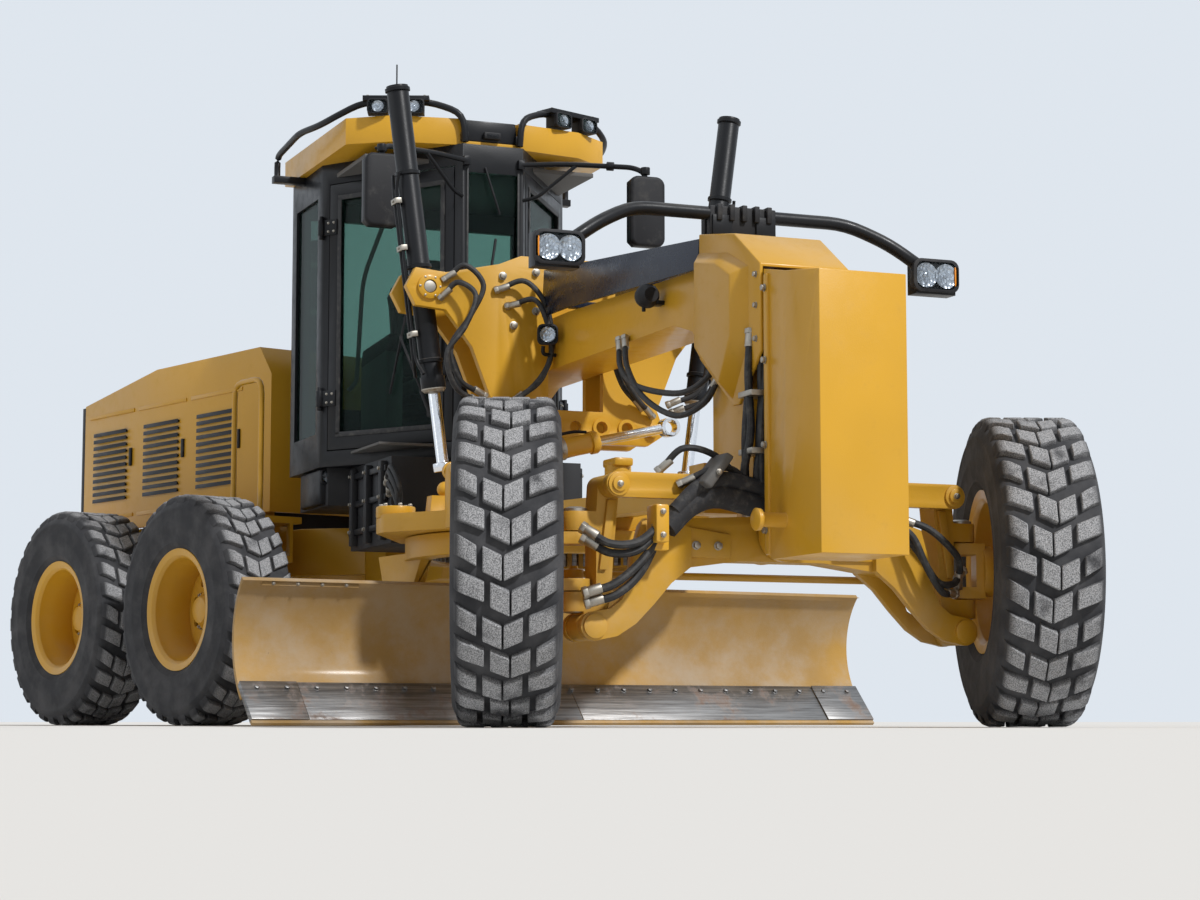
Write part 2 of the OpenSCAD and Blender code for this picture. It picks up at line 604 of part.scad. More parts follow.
fork_half = 62;
bar_x = [124, 168];
king_d = 56;
upper_boss = [800, 880];
lower_boss = [470, 550];
arm_back = 250;
arm_z = [lower_boss[1] + 10, lower_boss[1] + 45];
module fork_shape() difference() {
    union() {
        along_x([-fork_half, fork_half], lean_y, lean_z, 116);
        along_x([-fork_half, bar_x[0] - 4], bar_y, bar_z, 96);
        along_x([bar_x[0] - 5, bar_x[1] + 12], bar_y, bar_z, 44);
        front_plate([[lean_y - 58, lean_z], [lean_y + 30, lean_z + 30], [lean_y + 30, lower_boss[0] + 1],
            [kingpin_y - 68, 560], [kingpin_y - 68, 880], [bar_y + 48, bar_z], [bar_y, bar_z + 48],
            [bar_y - 46, bar_z], [kingpin_y - 143, 700], [kingpin_y - 133, 540]], [-fork_half, fork_half]);
        for (z = [upper_boss, lower_boss]) {
            along_z(0, kingpin_y, z, 124);
            block([-fork_half, fork_half], [kingpin_y - 103, kingpin_y], z);
        }
        along_z(0, kingpin_y, [upper_boss[0] - 55, upper_boss[0] + 1], king_d);
        along_z(0, kingpin_y, [lower_boss[1] - 1, lower_boss[1] + 55], king_d);
    }
    along_x([-fork_half - 1, fork_half + 1], lean_y, lean_z, 50 + 2 * fit);
    // slot in its rear for the steering arm at full lock
    block([-fork_half - 1, -12], [kingpin_y - 150, kingpin_y - 60], [arm_z[0] - 8, arm_z[1] + 8]);
}
module fork_right() color(paint) placed() sided(-1) fork_shape();
module fork_left() color(paint) placed() sided(1) fork_shape();

stud_d = 36;
tie_mid = lower_boss[1] + 90;
module knuckle_shape() difference() {
    union() {
        for (z = [[upper_boss[0] - 55, upper_boss[0] - 5], [lower_boss[1] + 5, lower_boss[1] + 55]]) {
            along_z(0, kingpin_y, z, 120);
            block([-60, 60], [kingpin_y, kingpin_y + 98], z);
        }
        block([-60, 60], [kingpin_y + 58, kingpin_y + 98], [lower_boss[1] + 5, upper_boss[0] - 5]);
        along_y(0, [kingpin_y + 90, kingpin_y + 130], axle_z, 220);
        along_y(0, [kingpin_y + 90, wheel_y + front_dish + 55], axle_z, spindle_d);
        block([-arm_back, 0], [kingpin_y - 30, kingpin_y + 30], arm_z);
        along_z(-arm_back, kingpin_y, arm_z, 80);
        along_z(-arm_back, kingpin_y, [lower_boss[1] + 40, tie_mid + 34], stud_d);
    }
    along_z(0, kingpin_y, [lower_boss[1], upper_boss[0]], king_d + 2 * fit);
}
module knuckle_right() color(paint) steered(-1) sided(-1) knuckle_shape();
module knuckle_left() color(paint) steered(1) sided(1) knuckle_shape();

module lean_bar() color(paint) placed() difference() {
    union() {
        block(bar_x, [-bar_y, bar_y], [bar_z - bar_h / 2, bar_z + bar_h / 2]);
        both_sides() along_x(bar_x, bar_y, bar_z, bar_h);
    }
    along_x([bar_x[0] - 1, bar_x[1] + 1], -bar_y, bar_z, 44 + 2 * fit);
    along_x([bar_x[0] - 1, bar_x[1] + 1], bar_y, bar_z, 44 + 30);
}

// the tie rod joins the ends of the two steering arms, on a ball at the right one
tie_x = -arm_back * cos(steer_angle);
tie_y = -arm_back * sin(steer_angle);
tie_z = [tie_mid - 18, tie_mid + 18];
tie_ball_d = 56;
tie_eye_d = 84;
module tie_rod_ball() color(steel) placed() translate([tie_x, -kingpin_y + tie_y, tie_mid]) difference() {
    sphere(d = tie_ball_d);
    along_z(0, 0, [-30, 30], stud_d + 2 * fit);
}
module tie_rod() color(steel) placed() difference() {
    union() {
        for (s = [-1, 1]) along_z(tie_x, s * kingpin_y + tie_y, tie_z, tie_eye_d);
        rod_between([tie_x, -kingpin_y + tie_y + 34, tie_mid], [tie_x, kingpin_y + tie_y - 36, tie_mid], 32);
    }
    translate([tie_x, -kingpin_y + tie_y, tie_mid]) {
        sphere(d = tie_ball_d + 2 * fit);
        for (turn = [0, 180]) rotate([turn, 0, 0]) translate([0, 0, 8]) cylinder(d1 = 44, d2 = 72, h = 12);
    }
    along_z(tie_x, kingpin_y + tie_y, [tie_z[0] - 1, tie_z[1] + 1], 60);
}

// Blade lift: barrels hang in the saddle's arms, rods reach down to the drawbar's ball studs

lift_x = -2400;
ball_y = 660;
ball_z = 1220;
ball_gap = 9;
lift_tilt = atan2(yoke_y - ball_y, yoke_z - ball_z);
lift_reach = norm([yoke_y - ball_y, yoke_z - ball_z]);
barrel_d = 112;
lift_rod_d = 60;
// along the cylinder's own axis, zero at the yoke pin, up positive
module lift_line(side) placed() sided(side) translate([lift_x, yoke_y, yoke_z]) rotate([-lift_tilt, 0, 0]) children();
module lift_barrel() difference() {
    union() {
        along_z(0, 0, [-480, 1050], barrel_d);
        along_z(0, 0, [-70, 70], 138);
        along_x([arm_x[0][0] + 1 - lift_x, arm_x[1][1] - 1 - lift_x], 0, 0, 60);
        along_z(0, 0, [-500, -440], 126);
    }
    along_z(0, 0, [-501, 1010], lift_rod_d + 2 * fit);
}
module lift_rod() {
    along_z(0, 0, [-lift_reach + 60, 560], lift_rod_d);
    along_z(0, 0, [-lift_reach + ball_gap + 45, -lift_reach + 100], 100);
}
module lift_barrel_right() color(dark) lift_line(-1) lift_barrel();
module lift_barrel_left() color(dark) lift_line(1) lift_barrel();
module lift_rod_right() color(steel) lift_line(-1) lift_rod();
module lift_rod_left() color(steel) lift_line(1) lift_rod();

// Drawbar

module drawbar_ball() color(steel) placed() {
    translate([bar_ball_x, 0, bar_ball_z]) sphere(d = 150);
    intersection() {
        along_x([bar_ball_x, column_x[0]], 0, bar_ball_z, 90);
        along_z(bar_ball_x, 0, [bar_ball_z - 50, bar_ball_z + 50], 2 * ball_stud, $fn = 96);
    }
}

circle_ri = circle_d / 2 - 130;
ear_half = 40;
draw_z = [circle_low + circle_h + 8, circle_low + circle_h + 100];
module drawbar() color(paint) placed() difference() {
    union() {
        both_sides() plan_plate([[bar_ball_x - 60, 30], [bar_ball_x - 60, 140], [-2000, 560], [-2000, 420]], draw_z);
        block([bar_ball_x - 140, bar_ball_x + 20], [-140, 140], [bar_ball_z - 110, bar_ball_z + 110]);
        plan_plate([[-1900, -560], [-2480, -950], [-2620, -950], [-3250, -620], [-3250, 620], [-2620, 950],
            [-2480, 950], [-1900, 560]], draw_z);
        both_sides() front_plate([[560, draw_z[0]], [760, draw_z[0]], [740, 1150], [580, 1150]], [lift_x - 40, lift_x + 40]);
        both_sides() translate([lift_x, ball_y, ball_z - 60]) cylinder(d = 60, h = 20);
        both_sides() translate([lift_x, ball_y, 1148]) cylinder(d = 50, h = 30);
        both_sides() translate([lift_x, ball_y, ball_z - 35]) sphere(d = 80);
        block([shift_x - ear_half, shift_x + ear_half], [shift_a[1] - 40, shift_a[1] + 40], [draw_z[0], shift_a[2]]);
        along_x([shift_x - ear_half, shift_x + ear_half], shift_a[1], shift_a[2], 80);
        // wear ring that the circle runs under
        translate([-circle_back, 0, circle_low + circle_h + seat]) rotate_extrude($fn = 180)
            translate([circle_ri + 20, 0]) square([60, 8]);
    }
    translate([bar_ball_x, 0, bar_ball_z]) sphere(d = 150 + 2 * fit);
    along_x([bar_ball_x, bar_ball_x + 200], 0, bar_ball_z, 130);
    along_z(-circle_back, 0, [draw_z[0] - 1, draw_z[1] + 1], 900);
    along_x([shift_x - ear_half - 1, shift_x + ear_half + 1], shift_a[1], shift_a[2], 40 + 2 * fit);
}

// Circle, blade carrier and moldboard, drawn square and turned with the blade

tip_x = -400;            // the blade's tip pivot, from the circle's centre
tip_z = 280;
arm_y = 640;
module circle() color(paint) blade_placed() {
    rotate_extrude($fn = 180) translate([circle_ri, circle_low]) square([circle_d / 2 - circle_ri, circle_h]);
    for (s = [-1, 1]) difference() {
        side_plate([[-700, circle_low + 40], [-150, circle_low + 40], [-320, 650], [-320, 420], [tip_x + 70, tip_z - 60],
            [tip_x, tip_z - 90], [tip_x - 70, tip_z - 60], [tip_x - 120, 420]], [s * arm_y - 32, s * arm_y + 32]);
        along_y(tip_x, [s * arm_y - 33, s * arm_y + 33], tip_z, 70 + 2 * fit);
    }
}

// The moldboard's section in X and Z: an arc about a centre ahead of it, with a straight edge below
arc_low = 145;
arc_mid = (blade_top + arc_low) / 2;
arc_half = asin((blade_top - arc_mid) / blade_r);
blade_face_x = -100;     // inner corner of the moldboard's top, from the circle's centre
arc_x = blade_face_x + blade_r * cos(arc_half);
edge_t = 18;
edge_clear = 6;          // the cutting edge stands this far above the ground
rail_zs = [275, 585];    // heights of the two slide rails
rail_h = 50;
rail_out = 62;
rail_l = 2900;
function arc_back(z) = arc_x - sqrt(pow(blade_r + blade_t, 2) - pow(z - arc_mid, 2));
rail_x = arc_back(rail_zs[1] - rail_h / 2) + 4;

module blade_carrier() color(paint) blade_placed() {
    along_y(tip_x, [-arm_y - 60, arm_y + 60], tip_z, 70);
    for (s = [-1, 1]) {
        y = [s * 520 - 45, s * 520 + 45];
        block([tip_x - 40, rail_x - rail_out - seat], y, [rail_zs[0] - 60, rail_zs[1] + 60]);
        for (z = rail_zs) for (d = [-1, 1])
            block([tip_x, rail_x - 22], y, d > 0 ? [z + rail_h / 2 + seat, z + rail_h / 2 + 26]
                : [z - rail_h / 2 - 26, z - rail_h / 2 - seat]);
    }
}

module moldboard() color(paint) blade_placed() translate([0, blade_shift - blade_l / 2, 0]) {
    translate([arc_x, 0, arc_mid]) rotate([-90, 0, 0]) rotate([0, 0, 180 - arc_half])
        rotate_extrude(angle = 2 * arc_half, $fn = 180) translate([blade_r, 0]) square([blade_t, blade_l]);
    foot = [arc_x - blade_r * cos(arc_half), arc_low];
    along = [sin(arc_half), -cos(arc_half)];
    over = [cos(arc_half), sin(arc_half)];
    reach = (arc_low - edge_clear) / cos(arc_half);
    side_plate([foot - 70 * along + 4 * over, foot + reach * along, foot + reach * along + edge_t * over,
        foot - 70 * along + (edge_t + 4) * over], [0, blade_l]);
    for (z = rail_zs) block([rail_x - rail_out, rail_x + 6], [(blade_l - rail_l) / 2, (blade_l + rail_l) / 2],
        [z - rail_h / 2, z + rail_h / 2]);
}

// Centre shift: the barrel hangs on the drawbar's right ear, the rod's eye is at the saddle

shift_a = [shift_x, -720, 1250];
shift_b = [shift_x, 420, 1510];
shift_lean = atan2(shift_b[2] - shift_a[2], shift_b[1] - shift_a[1]);
shift_reach = norm(shift_b - shift_a);
// along the cylinder's axis from the drawbar's ear to the saddle
module shift_line() placed() translate(shift_a) rotate([shift_lean, 0, 0]) children();
module shift_barrel() color(paint) shift_line() difference() {
    union() {
        along_y(0, [60, 770], 0, 100);
        along_x([-60, 60], 0, 0, 40);
        for (x = [[46, 76], [-76, -46]]) {
            along_x(x, 0, 0, 90);
            block(x, [0, 70], [-40, 40]);
        }
        block([-76, 76], [60, 75], [-40, 40]);
    }
    along_y(0, [100, 771], 0, 50 + 2 * fit);
}
module shift_rod() color(steel) shift_line() difference() {
    union() {
        along_y(0, [415, shift_reach - 30], 0, 50);
        along_x([-35, 35], shift_reach, 0, 100);
    }
    along_x([-36, 36], shift_reach, 0, 66);
}

rear_frame();
rear_rails();
engine();
engine_hood();
radiator_grille();
exhaust_stack();
walkways();
rear_axle();
tandem_right();
tandem_left();
tyre_right_mid();
rim_right_mid();
tyre_right_rear();
rim_right_rear();
tyre_left_mid();
rim_left_mid();
tyre_left_rear();
rim_left_rear();
front_frame();
saddle();
nose_cover();
front_weight();
side_covers();
headlight_bar();
cab_frame();
cab_roof();
cab_glass();
cab_base();
seat();
controls();
light_frames();
door_right();
door_right_glass();
door_left();
door_left_glass();
front_axle();
lean_bar();
fork_right();
fork_left();
knuckle_right();
knuckle_left();
tie_rod_ball();
tie_rod();
tyre_front_right();
rim_front_right();
tyre_front_left();
rim_front_left();
lift_barrel_right();
lift_rod_right();
lift_barrel_left();
lift_rod_left();
drawbar_ball();
drawbar();
circle();
blade_carrier();
moldboard();
shift_barrel();
shift_rod();
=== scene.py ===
"""Finishes a parked motor grader: tyres, cab, hydraulics, lamps and paint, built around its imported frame."""

import json
import math

import bpy
from bpy.props import FloatProperty, FloatVectorProperty, IntProperty, PointerProperty
from mathutils import Matrix, Vector


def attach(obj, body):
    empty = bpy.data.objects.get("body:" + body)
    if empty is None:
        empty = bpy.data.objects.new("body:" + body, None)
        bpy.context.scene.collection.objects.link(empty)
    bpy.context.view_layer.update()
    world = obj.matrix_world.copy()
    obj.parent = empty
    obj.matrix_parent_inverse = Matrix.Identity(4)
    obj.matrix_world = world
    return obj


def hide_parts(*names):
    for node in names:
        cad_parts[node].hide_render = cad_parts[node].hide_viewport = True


bl_info = {
    "name": "Motor grader finish",
    "version": (1, 0, 0),
    "blender": (4, 5, 0),
    "location": "View3D > Sidebar > Grader",
    "description": "Builds the visible surfaces of a motor grader on its packed frame",
    "category": "Object",
}

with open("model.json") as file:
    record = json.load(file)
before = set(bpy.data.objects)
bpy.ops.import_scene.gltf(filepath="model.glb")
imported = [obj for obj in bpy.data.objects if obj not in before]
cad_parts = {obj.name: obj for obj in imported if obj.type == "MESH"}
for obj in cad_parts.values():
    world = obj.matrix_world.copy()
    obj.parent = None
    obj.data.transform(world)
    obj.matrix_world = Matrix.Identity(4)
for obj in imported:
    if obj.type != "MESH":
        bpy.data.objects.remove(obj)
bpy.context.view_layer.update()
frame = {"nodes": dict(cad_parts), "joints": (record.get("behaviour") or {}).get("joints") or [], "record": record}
NODES = frame["nodes"]
JOINTS = {joint["name"]: joint for joint in frame["joints"]}


# Places, read from the frame's joints


def at(x, y, z):
    """A plain move."""
    return Matrix.Translation((x, y, z))


def spun(angle, axis):
    """A plain turn."""
    return Matrix.Rotation(angle, 4, axis)


def joint_place(name):
    """Where a joint of the frame stands."""
    return Vector(JOINTS[name]["pos_m"])


def heading(name):
    """Turn about Z that brings Y onto a wheel axle's direction."""
    axis = Vector(JOINTS[name]["axis"])
    return math.atan2(-axis.x, axis.y)


# The front frame: x ahead of the front axle, y left, z up
AXLE = joint_place("axle_oscillation")
FRONT = at(AXLE.x, AXLE.y, 0)
HINGE = joint_place("articulation")
REAR_TURN = heading("tandem_left_pivot")
# The rear frame keeps the front frame's x, turned about the articulation hinge
REAR = (
    at(HINGE.x, HINGE.y, 0)
    @ spun(REAR_TURN, "Z")
    @ Matrix.Translation((-(HINGE.x - AXLE.x), 0, 0))
)
CIRCLE = joint_place("circle_turn")
BLADE = at(CIRCLE.x, CIRCLE.y, 0) @ spun(heading("blade_tip"), "Z")
MIRROR_Y = Matrix.Diagonal((1, -1, 1, 1))
SIDES = (("right", -1), ("left", 1))


def span(sign, inner, outer):
    """The two distances on one side of the middle, the smaller value first."""
    return sorted((sign * inner, sign * outer))


def wheel_place(spin):
    """A wheel's frame: Y along its axle, outwards on the left side."""
    return Matrix.Translation(joint_place(spin)) @ spun(heading(spin), "Z")


def sided(place, side):
    """The same frame mirrored across its own Y for the right side, so shapes are drawn once, for the left."""
    return place @ MIRROR_Y if side < 0 else place


# Materials


class Wire:
    """An output socket of a material; Python arithmetic on it adds Math nodes."""

    def __init__(self, tree, socket=None):
        self.tree = tree
        self.socket = socket

    def node(self, kind, settings=None, inputs=None, out=0):
        """Adds a node: its settings first, a ramp's stops among them, then its sockets' values or links."""
        made = self.tree.nodes.new(kind)
        for key, value in (settings or {}).items():
            if key == "stops":
                ramp = made.color_ramp.elements
                while len(ramp) < len(value):
                    ramp.new(0.5)
                for stop, (place, colour) in zip(ramp, value):
                    stop.position = place
                    stop.color = colour if len(colour) == 4 else (*colour, 1)
            else:
                setattr(made, key, value)
        for key, value in (inputs or {}).items():
            target = made.inputs[key]
            if isinstance(value, Wire):
                self.tree.links.new(value.socket, target)
            else:
                target.default_value = value
        return Wire(self.tree, made.outputs[out] if made.outputs else None)

    def maths(self, operation, first, second):
        return self.node("ShaderNodeMath", {"operation": operation}, {0: first, 1: second})

    def __add__(self, other):
        return self.maths("ADD", self, other)

    __radd__ = __add__

    def __sub__(self, other):
        return self.maths("SUBTRACT", self, other)

    def __rsub__(self, other):
        return self.maths("SUBTRACT", other, self)

    def __mul__(self, other):
        return self.maths("MULTIPLY", self, other)

    __rmul__ = __mul__

    def clipped(self, low, high):
        """0 below low and 1 above high."""
        return self.node("ShaderNodeMapRange", {"interpolation_type": "SMOOTHSTEP"},
                         {"Value": self, "From Min": low, "From Max": high})

    def noise(self, scale, detail=3.0, roughness=0.55, stretch=None):
        """Noise in metres of the object, repeating about every 1/scale."""
        where = self.node("ShaderNodeTexCoord", out=3)
        if stretch:
            where = self.node("ShaderNodeMapping", None, {"Vector": where, "Scale": stretch})
        return self.node("ShaderNodeTexNoise", None,
                         {"Vector": where, "Scale": scale, "Detail": detail, "Roughness": roughness})

    def height(self):
        """Height above the ground."""
        where = self.node("ShaderNodeTexCoord", out=3)
        return self.node("ShaderNodeSeparateXYZ", None, {0: where}, out=2)

    def upward(self):
        """1 on what faces up, 0 on what faces sideways, negative below."""
        normal = self.node("ShaderNodeNewGeometry", out=1)
        return self.node("ShaderNodeSeparateXYZ", None, {0: normal}, out=2)

    def blend(self, mask, first, second):
        """The first colour where the mask is 0, the second where it is 1."""
        return self.node("ShaderNodeMix", {"data_type": "RGBA"},
                         {0: mask, 6: solid(first), 7: solid(second)}, out=2)


def shaded(colour, share):
    """The colour with each part times the share."""
    return [part * share for part in colour]


def solid(colour):
    return colour if isinstance(colour, Wire) else (*colour[:3], 1)


DUST = (0.43, 0.40, 0.36)


def material(name):
    """A new material with an empty tree, as the wire that its nodes start from."""
    made = bpy.data.materials.new(name)
    made.use_nodes = True
    made.node_tree.nodes.clear()
    return made, Wire(made.node_tree)


def surface(wire, colour, roughness, metallic=0.0, bump=None, depth=0.002, **sockets):
    """Ends a material in a Principled shader; sockets name fixed values such as Coat_Weight."""
    inputs = {"Base Color": solid(colour), "Roughness": roughness, "Metallic": metallic}
    if bump is not None:
        inputs["Normal"] = wire.node("ShaderNodeBump", None,
                                     {"Height": bump, "Strength": 1.0, "Distance": depth})
    inputs.update({key.replace("_", " "): value for key, value in sockets.items()})
    shader = wire.node("ShaderNodeBsdfPrincipled", None, inputs)
    wire.node("ShaderNodeOutputMaterial", None, {0: shader})
    return shader


def dust_mask(wire, low, high, amount):
    """Dust that lies on ledges and rises from the ground: full below low, gone above high."""
    patches = wire.noise(3.1, 6, 0.65)
    from_ground = 1 - wire.height().clipped(low, high)
    on_ledges = wire.upward().clipped(0.3, 0.95)
    return (from_ground * 0.75 + on_ledges * 0.5) * patches.clipped(0.35, 0.7) * amount


def painted(name, colour, shade, gloss=0.32, dust=0.55, chips=0.0, coat=0.25, shine=0.5):
    """Sprayed paint: slow shade changes, fine orange peel, dust low down and on ledges."""
    made, wire = material(name)
    drift = wire.noise(0.9, 3)
    tone = wire.blend(drift.clipped(0.35, 0.65), colour, shade)
    smudge = wire.noise(14, 5, 0.7)
    tone = wire.blend(smudge.clipped(0.55, 0.8) * 0.18, tone, shaded(colour, 0.55))
    mask = dust_mask(wire, 0.15, 1.25, dust)
    tone = wire.blend(mask, tone, DUST)
    rough = gloss + smudge.clipped(0.4, 0.8) * 0.14 + mask * 0.4
    peel = wire.noise(160, 2)
    if chips:
        worn = wire.noise(38, 4, 0.75).clipped(1 - chips, 1.04 - chips)
        tone = wire.blend(worn, tone, (0.16, 0.12, 0.09))
        rough = rough + worn * 0.3
    surface(wire, tone, rough, bump=peel, depth=0.0004, Coat_Weight=coat, Coat_Roughness=0.12,
            Specular_IOR_Level=shine)
    return made


def tyre_rubber(name):
    """Tread rubber: dark in the grooves and on the walls, pale with ground stone on the blocks' tops."""
    made, wire = material(name)
    worn = wire.node("ShaderNodeAttribute", {"attribute_name": "tread"}, out=2)
    grit = wire.noise(210, 3, 0.7)
    patches = wire.noise(6, 4, 0.6)
    wall = wire.blend(patches.clipped(0.35, 0.75) * 0.5, (0.028, 0.029, 0.033), (0.11, 0.11, 0.115))
    top = wire.blend(grit.clipped(0.38, 0.62), (0.12, 0.123, 0.13), (0.42, 0.425, 0.44))
    tone = wire.blend(worn * patches.clipped(0.22, 0.5), wall, top)
    surface(wire, tone, 0.86 + grit * 0.1, bump=grit * 0.6 + wire.noise(45, 3) * 0.4, depth=0.0022)
    return made


def plain_rubber(name, colour=(0.018, 0.018, 0.02), rough=0.6):
    """Hose and seal rubber with a film of dust."""
    made, wire = material(name)
    dusty = wire.noise(22, 5, 0.7).clipped(0.45, 0.8) * 0.35
    surface(wire, wire.blend(dusty, colour, (0.2, 0.19, 0.175)), rough + dusty * 0.3,
            bump=wire.noise(420, 2), depth=0.0004)
    return made


def moulded(name, colour, rough=0.55):
    """Grained plastic."""
    made, wire = material(name)
    dusty = wire.noise(9, 5, 0.7).clipped(0.5, 0.8) * 0.16
    grain = {"Vector": wire.node("ShaderNodeTexCoord", out=3), "Scale": 520.0}
    surface(wire, wire.blend(dusty, colour, (0.3, 0.29, 0.27)), rough + dusty,
            bump=wire.node("ShaderNodeTexVoronoi", None, grain), depth=0.0003, Specular_IOR_Level=0.28)
    return made


def bright_metal(name, colour, rough, grain=None, dust=0.0):
    """Bare or plated metal with fine scratches along the grain."""
    made, wire = material(name)
    lines = wire.noise(90, 4, 0.6, stretch=grain or (1, 1, 1))
    tone = wire.blend(lines.clipped(0.3, 0.8) * 0.3, colour, shaded(colour, 0.6))
    dusty = wire.noise(7, 5, 0.7).clipped(0.5, 0.75) * dust
    surface(wire, wire.blend(dusty, tone, DUST), rough + lines * 0.12 + dusty * 0.4,
            metallic=1 - dusty * 0.8,
            bump=lines, depth=0.0003)
    return made


def ground_steel(name):
    """The blade's cutting edge: scraped bright steel with rust in patches."""
    made, wire = material(name)
    scrape = wire.noise(30, 5, 0.65, stretch=(0.08, 0.08, 3.0))
    rust = wire.noise(5, 6, 0.7).clipped(0.5, 0.68)
    steel = wire.blend(scrape.clipped(0.3, 0.75), (0.30, 0.295, 0.29), (0.12, 0.115, 0.112))
    surface(wire, wire.blend(rust * 0.6, steel, (0.19, 0.10, 0.055)), 0.36 + rust * 0.35 + scrape * 0.1,
            metallic=1 - rust * 0.6, bump=scrape, depth=0.0012)
    return made


def pane_glass(name, tint, share):
    """A thin tinted pane: clear through the middle, mirror-like at the edge of view."""
    made, wire = material(name)
    edge = wire.node("ShaderNodeLayerWeight", None, {"Blend": 0.32})
    clear = wire.node("ShaderNodeBsdfTransparent", None, {"Color": (*tint, 1)})
    smears = wire.noise(2.5, 5, 0.7)
    body = wire.node("ShaderNodeBsdfPrincipled", None,
                     {"Base Color": (0.02, 0.035, 0.033, 1),
                      "Roughness": 0.03 + smears.clipped(0.45, 0.8) * 0.06,
                      "IOR": 1.52})
    mixed = wire.node("ShaderNodeMixShader", None,
                      {0: edge * 0.6 + share, 1: clear, 2: body})
    wire.node("ShaderNodeOutputMaterial", None, {0: mixed})
    return made


def lamp_reflector(name):
    """Faceted chromed reflector behind a lamp's lens; its colour also holds a painted glint on each facet."""
    made, wire = material(name)
    facets_and_glints = wire.node("ShaderNodeTexVoronoi", {"feature": "F1"},
                       {"Vector": wire.node("ShaderNodeTexCoord", out=3), "Scale": 60.0})
    # painted highlight: each facet's colour is brighter at its middle and darker towards its rim, over the
    # chrome's own colour
    tone = wire.blend(facets_and_glints.clipped(0.1, 0.7), (0.92, 0.93, 0.95), (0.62, 0.64, 0.67))
    surface(wire, tone, 0.22 + facets_and_glints * 0.1, metallic=0.75, bump=facets_and_glints, depth=0.003)
    return made


def cloth(name, colour):
    """Woven seat cover: two crossed thread directions."""
    made, wire = material(name)
    where = wire.node("ShaderNodeTexCoord", out=3)
    across = wire.node("ShaderNodeTexWave", {"bands_direction": "Y"}, {"Vector": where, "Scale": 190.0},
                       out=1)
    along = wire.node("ShaderNodeTexWave", {"bands_direction": "Z"}, {"Vector": where, "Scale": 190.0},
                      out=1)
    weave = across * 0.5 + along * 0.5
    tone = wire.blend(weave, shaded(colour, 0.6), [min(1, part * 1.5) for part in colour])
    surface(wire, tone, 0.88 + weave * 0.1, bump=weave, depth=0.0008, Sheen_Weight=0.3)
    return made


class Finishes:
    """All materials of the machine, made once by name."""

    RECIPES = {
        "yellow": lambda: painted("yellow_paint", colours().yellow, shaded(colours().yellow, 0.9), 0.34,
                                  0.22, coat=0.12, shine=0.4),
        "casting": lambda: painted("yellow_casting", shaded(colours().yellow, 0.94),
                                   shaded(colours().yellow, 0.78), 0.42, 0.32, 0.16, 0.1, 0.35),
        "blade": lambda: painted("blade_paint", (0.46, 0.26, 0.05), (0.32, 0.195, 0.065), 0.58, 0.6, 0.3,
                                 0.03, 0.3),
        "black": lambda: painted("black_paint", colours().black, shaded(colours().black, 1.6), 0.36, 0.3,
                                 coat=0.03, shine=0.22),
        "navy": lambda: painted("side_panel_paint", (0.007, 0.012, 0.028), (0.010, 0.016, 0.036), 0.26,
                                0.12,
                                coat=0.08, shine=0.35),
        "grey": lambda: painted("frame_grey", (0.024, 0.025, 0.028), (0.045, 0.045, 0.048), 0.5, 0.6,
                                coat=0.0,
                                shine=0.25),
        "tyre": lambda: tyre_rubber("tyre_rubber"),
        "hose": lambda: plain_rubber("hose_rubber", (0.010, 0.010, 0.011)),
        "sleeve": lambda: plain_rubber("hose_sleeve", (0.013, 0.013, 0.015), 0.75),
        "plastic": lambda: moulded("black_plastic", (0.010, 0.010, 0.012)),
        "trim": lambda: moulded("grey_trim", (0.11, 0.108, 0.105), 0.6),
        "chrome": lambda: bright_metal("rod_chrome", (0.82, 0.83, 0.85), 0.08),
        "zinc": lambda: bright_metal("zinc_fittings", (0.40, 0.37, 0.32), 0.38, dust=0.45),
        "steel": lambda: ground_steel("edge_steel"),
        "glass": lambda: pane_glass("cab_glass", (0.62, 0.76, 0.72), 0.1),
        "lens": lambda: pane_glass("lamp_lens", (0.93, 0.95, 0.97), 0.03),
        "reflector": lambda: lamp_reflector("lamp_reflector"),
        "cloth": lambda: cloth("seat_cloth", (0.035, 0.036, 0.04)),
        "amber": lambda: moulded("amber_lens", (0.75, 0.26, 0.02), 0.25),
        "red": lambda: moulded("red_lens", (0.42, 0.015, 0.012), 0.25),
    }
    made = {}

    @classmethod
    def get(cls, name):
        if name not in cls.made:
            cls.made[name] = cls.RECIPES[name]()
        return cls.made[name]


# Modelling, in metres; every tool leaves its new part as the active object

MERGE = 0.00002  # points nearer than this are one


def deselect():
    """Leaves nothing selected."""
    bpy.ops.object.select_all(action="DESELECT")


def choose(*parts):
    """Selects the parts and makes the first one active."""
    deselect()
    for part in parts:
        part.select_set(True)
    bpy.context.view_layer.objects.active = parts[0]


def in_edit_mode(part, *steps):
    """Runs edit-mode steps on the part with all of it selected before each."""
    choose(part)
    bpy.ops.object.mode_set(mode="EDIT")
    for step in steps:
        bpy.ops.mesh.select_all(action="SELECT")
        step()
    bpy.ops.object.mode_set(mode="OBJECT")
    return part


def outward(part):
    """Merges doubles and turns the faces outwards."""
    return in_edit_mode(part, lambda: bpy.ops.mesh.remove_doubles(threshold=MERGE),
                        lambda: bpy.ops.mesh.normals_make_consistent(inside=False))


def modified(part, kind, **settings):
    """Adds a modifier with its settings and applies it."""
    choose(part)
    modifier = part.modifiers.new(kind, kind)
    for key, value in settings.items():
        setattr(modifier, key, value)
    bpy.ops.object.modifier_apply(modifier=modifier.name)
    return part


def rounded(part, width, segments=2, angle=32):
    """Rounds the edges that are sharper than the angle."""
    if width <= 0:
        return part
    return modified(part, "BEVEL", width=width, segments=segments, limit_method="ANGLE",
                    angle_limit=math.radians(angle), use_clamp_overlap=True)


def moved(part, matrix):
    """Moves the part's points, so its object stays at the origin."""
    part.data.transform(matrix)
    if matrix.is_negative:
        part.data.flip_normals()
    part.data.update()
    return part


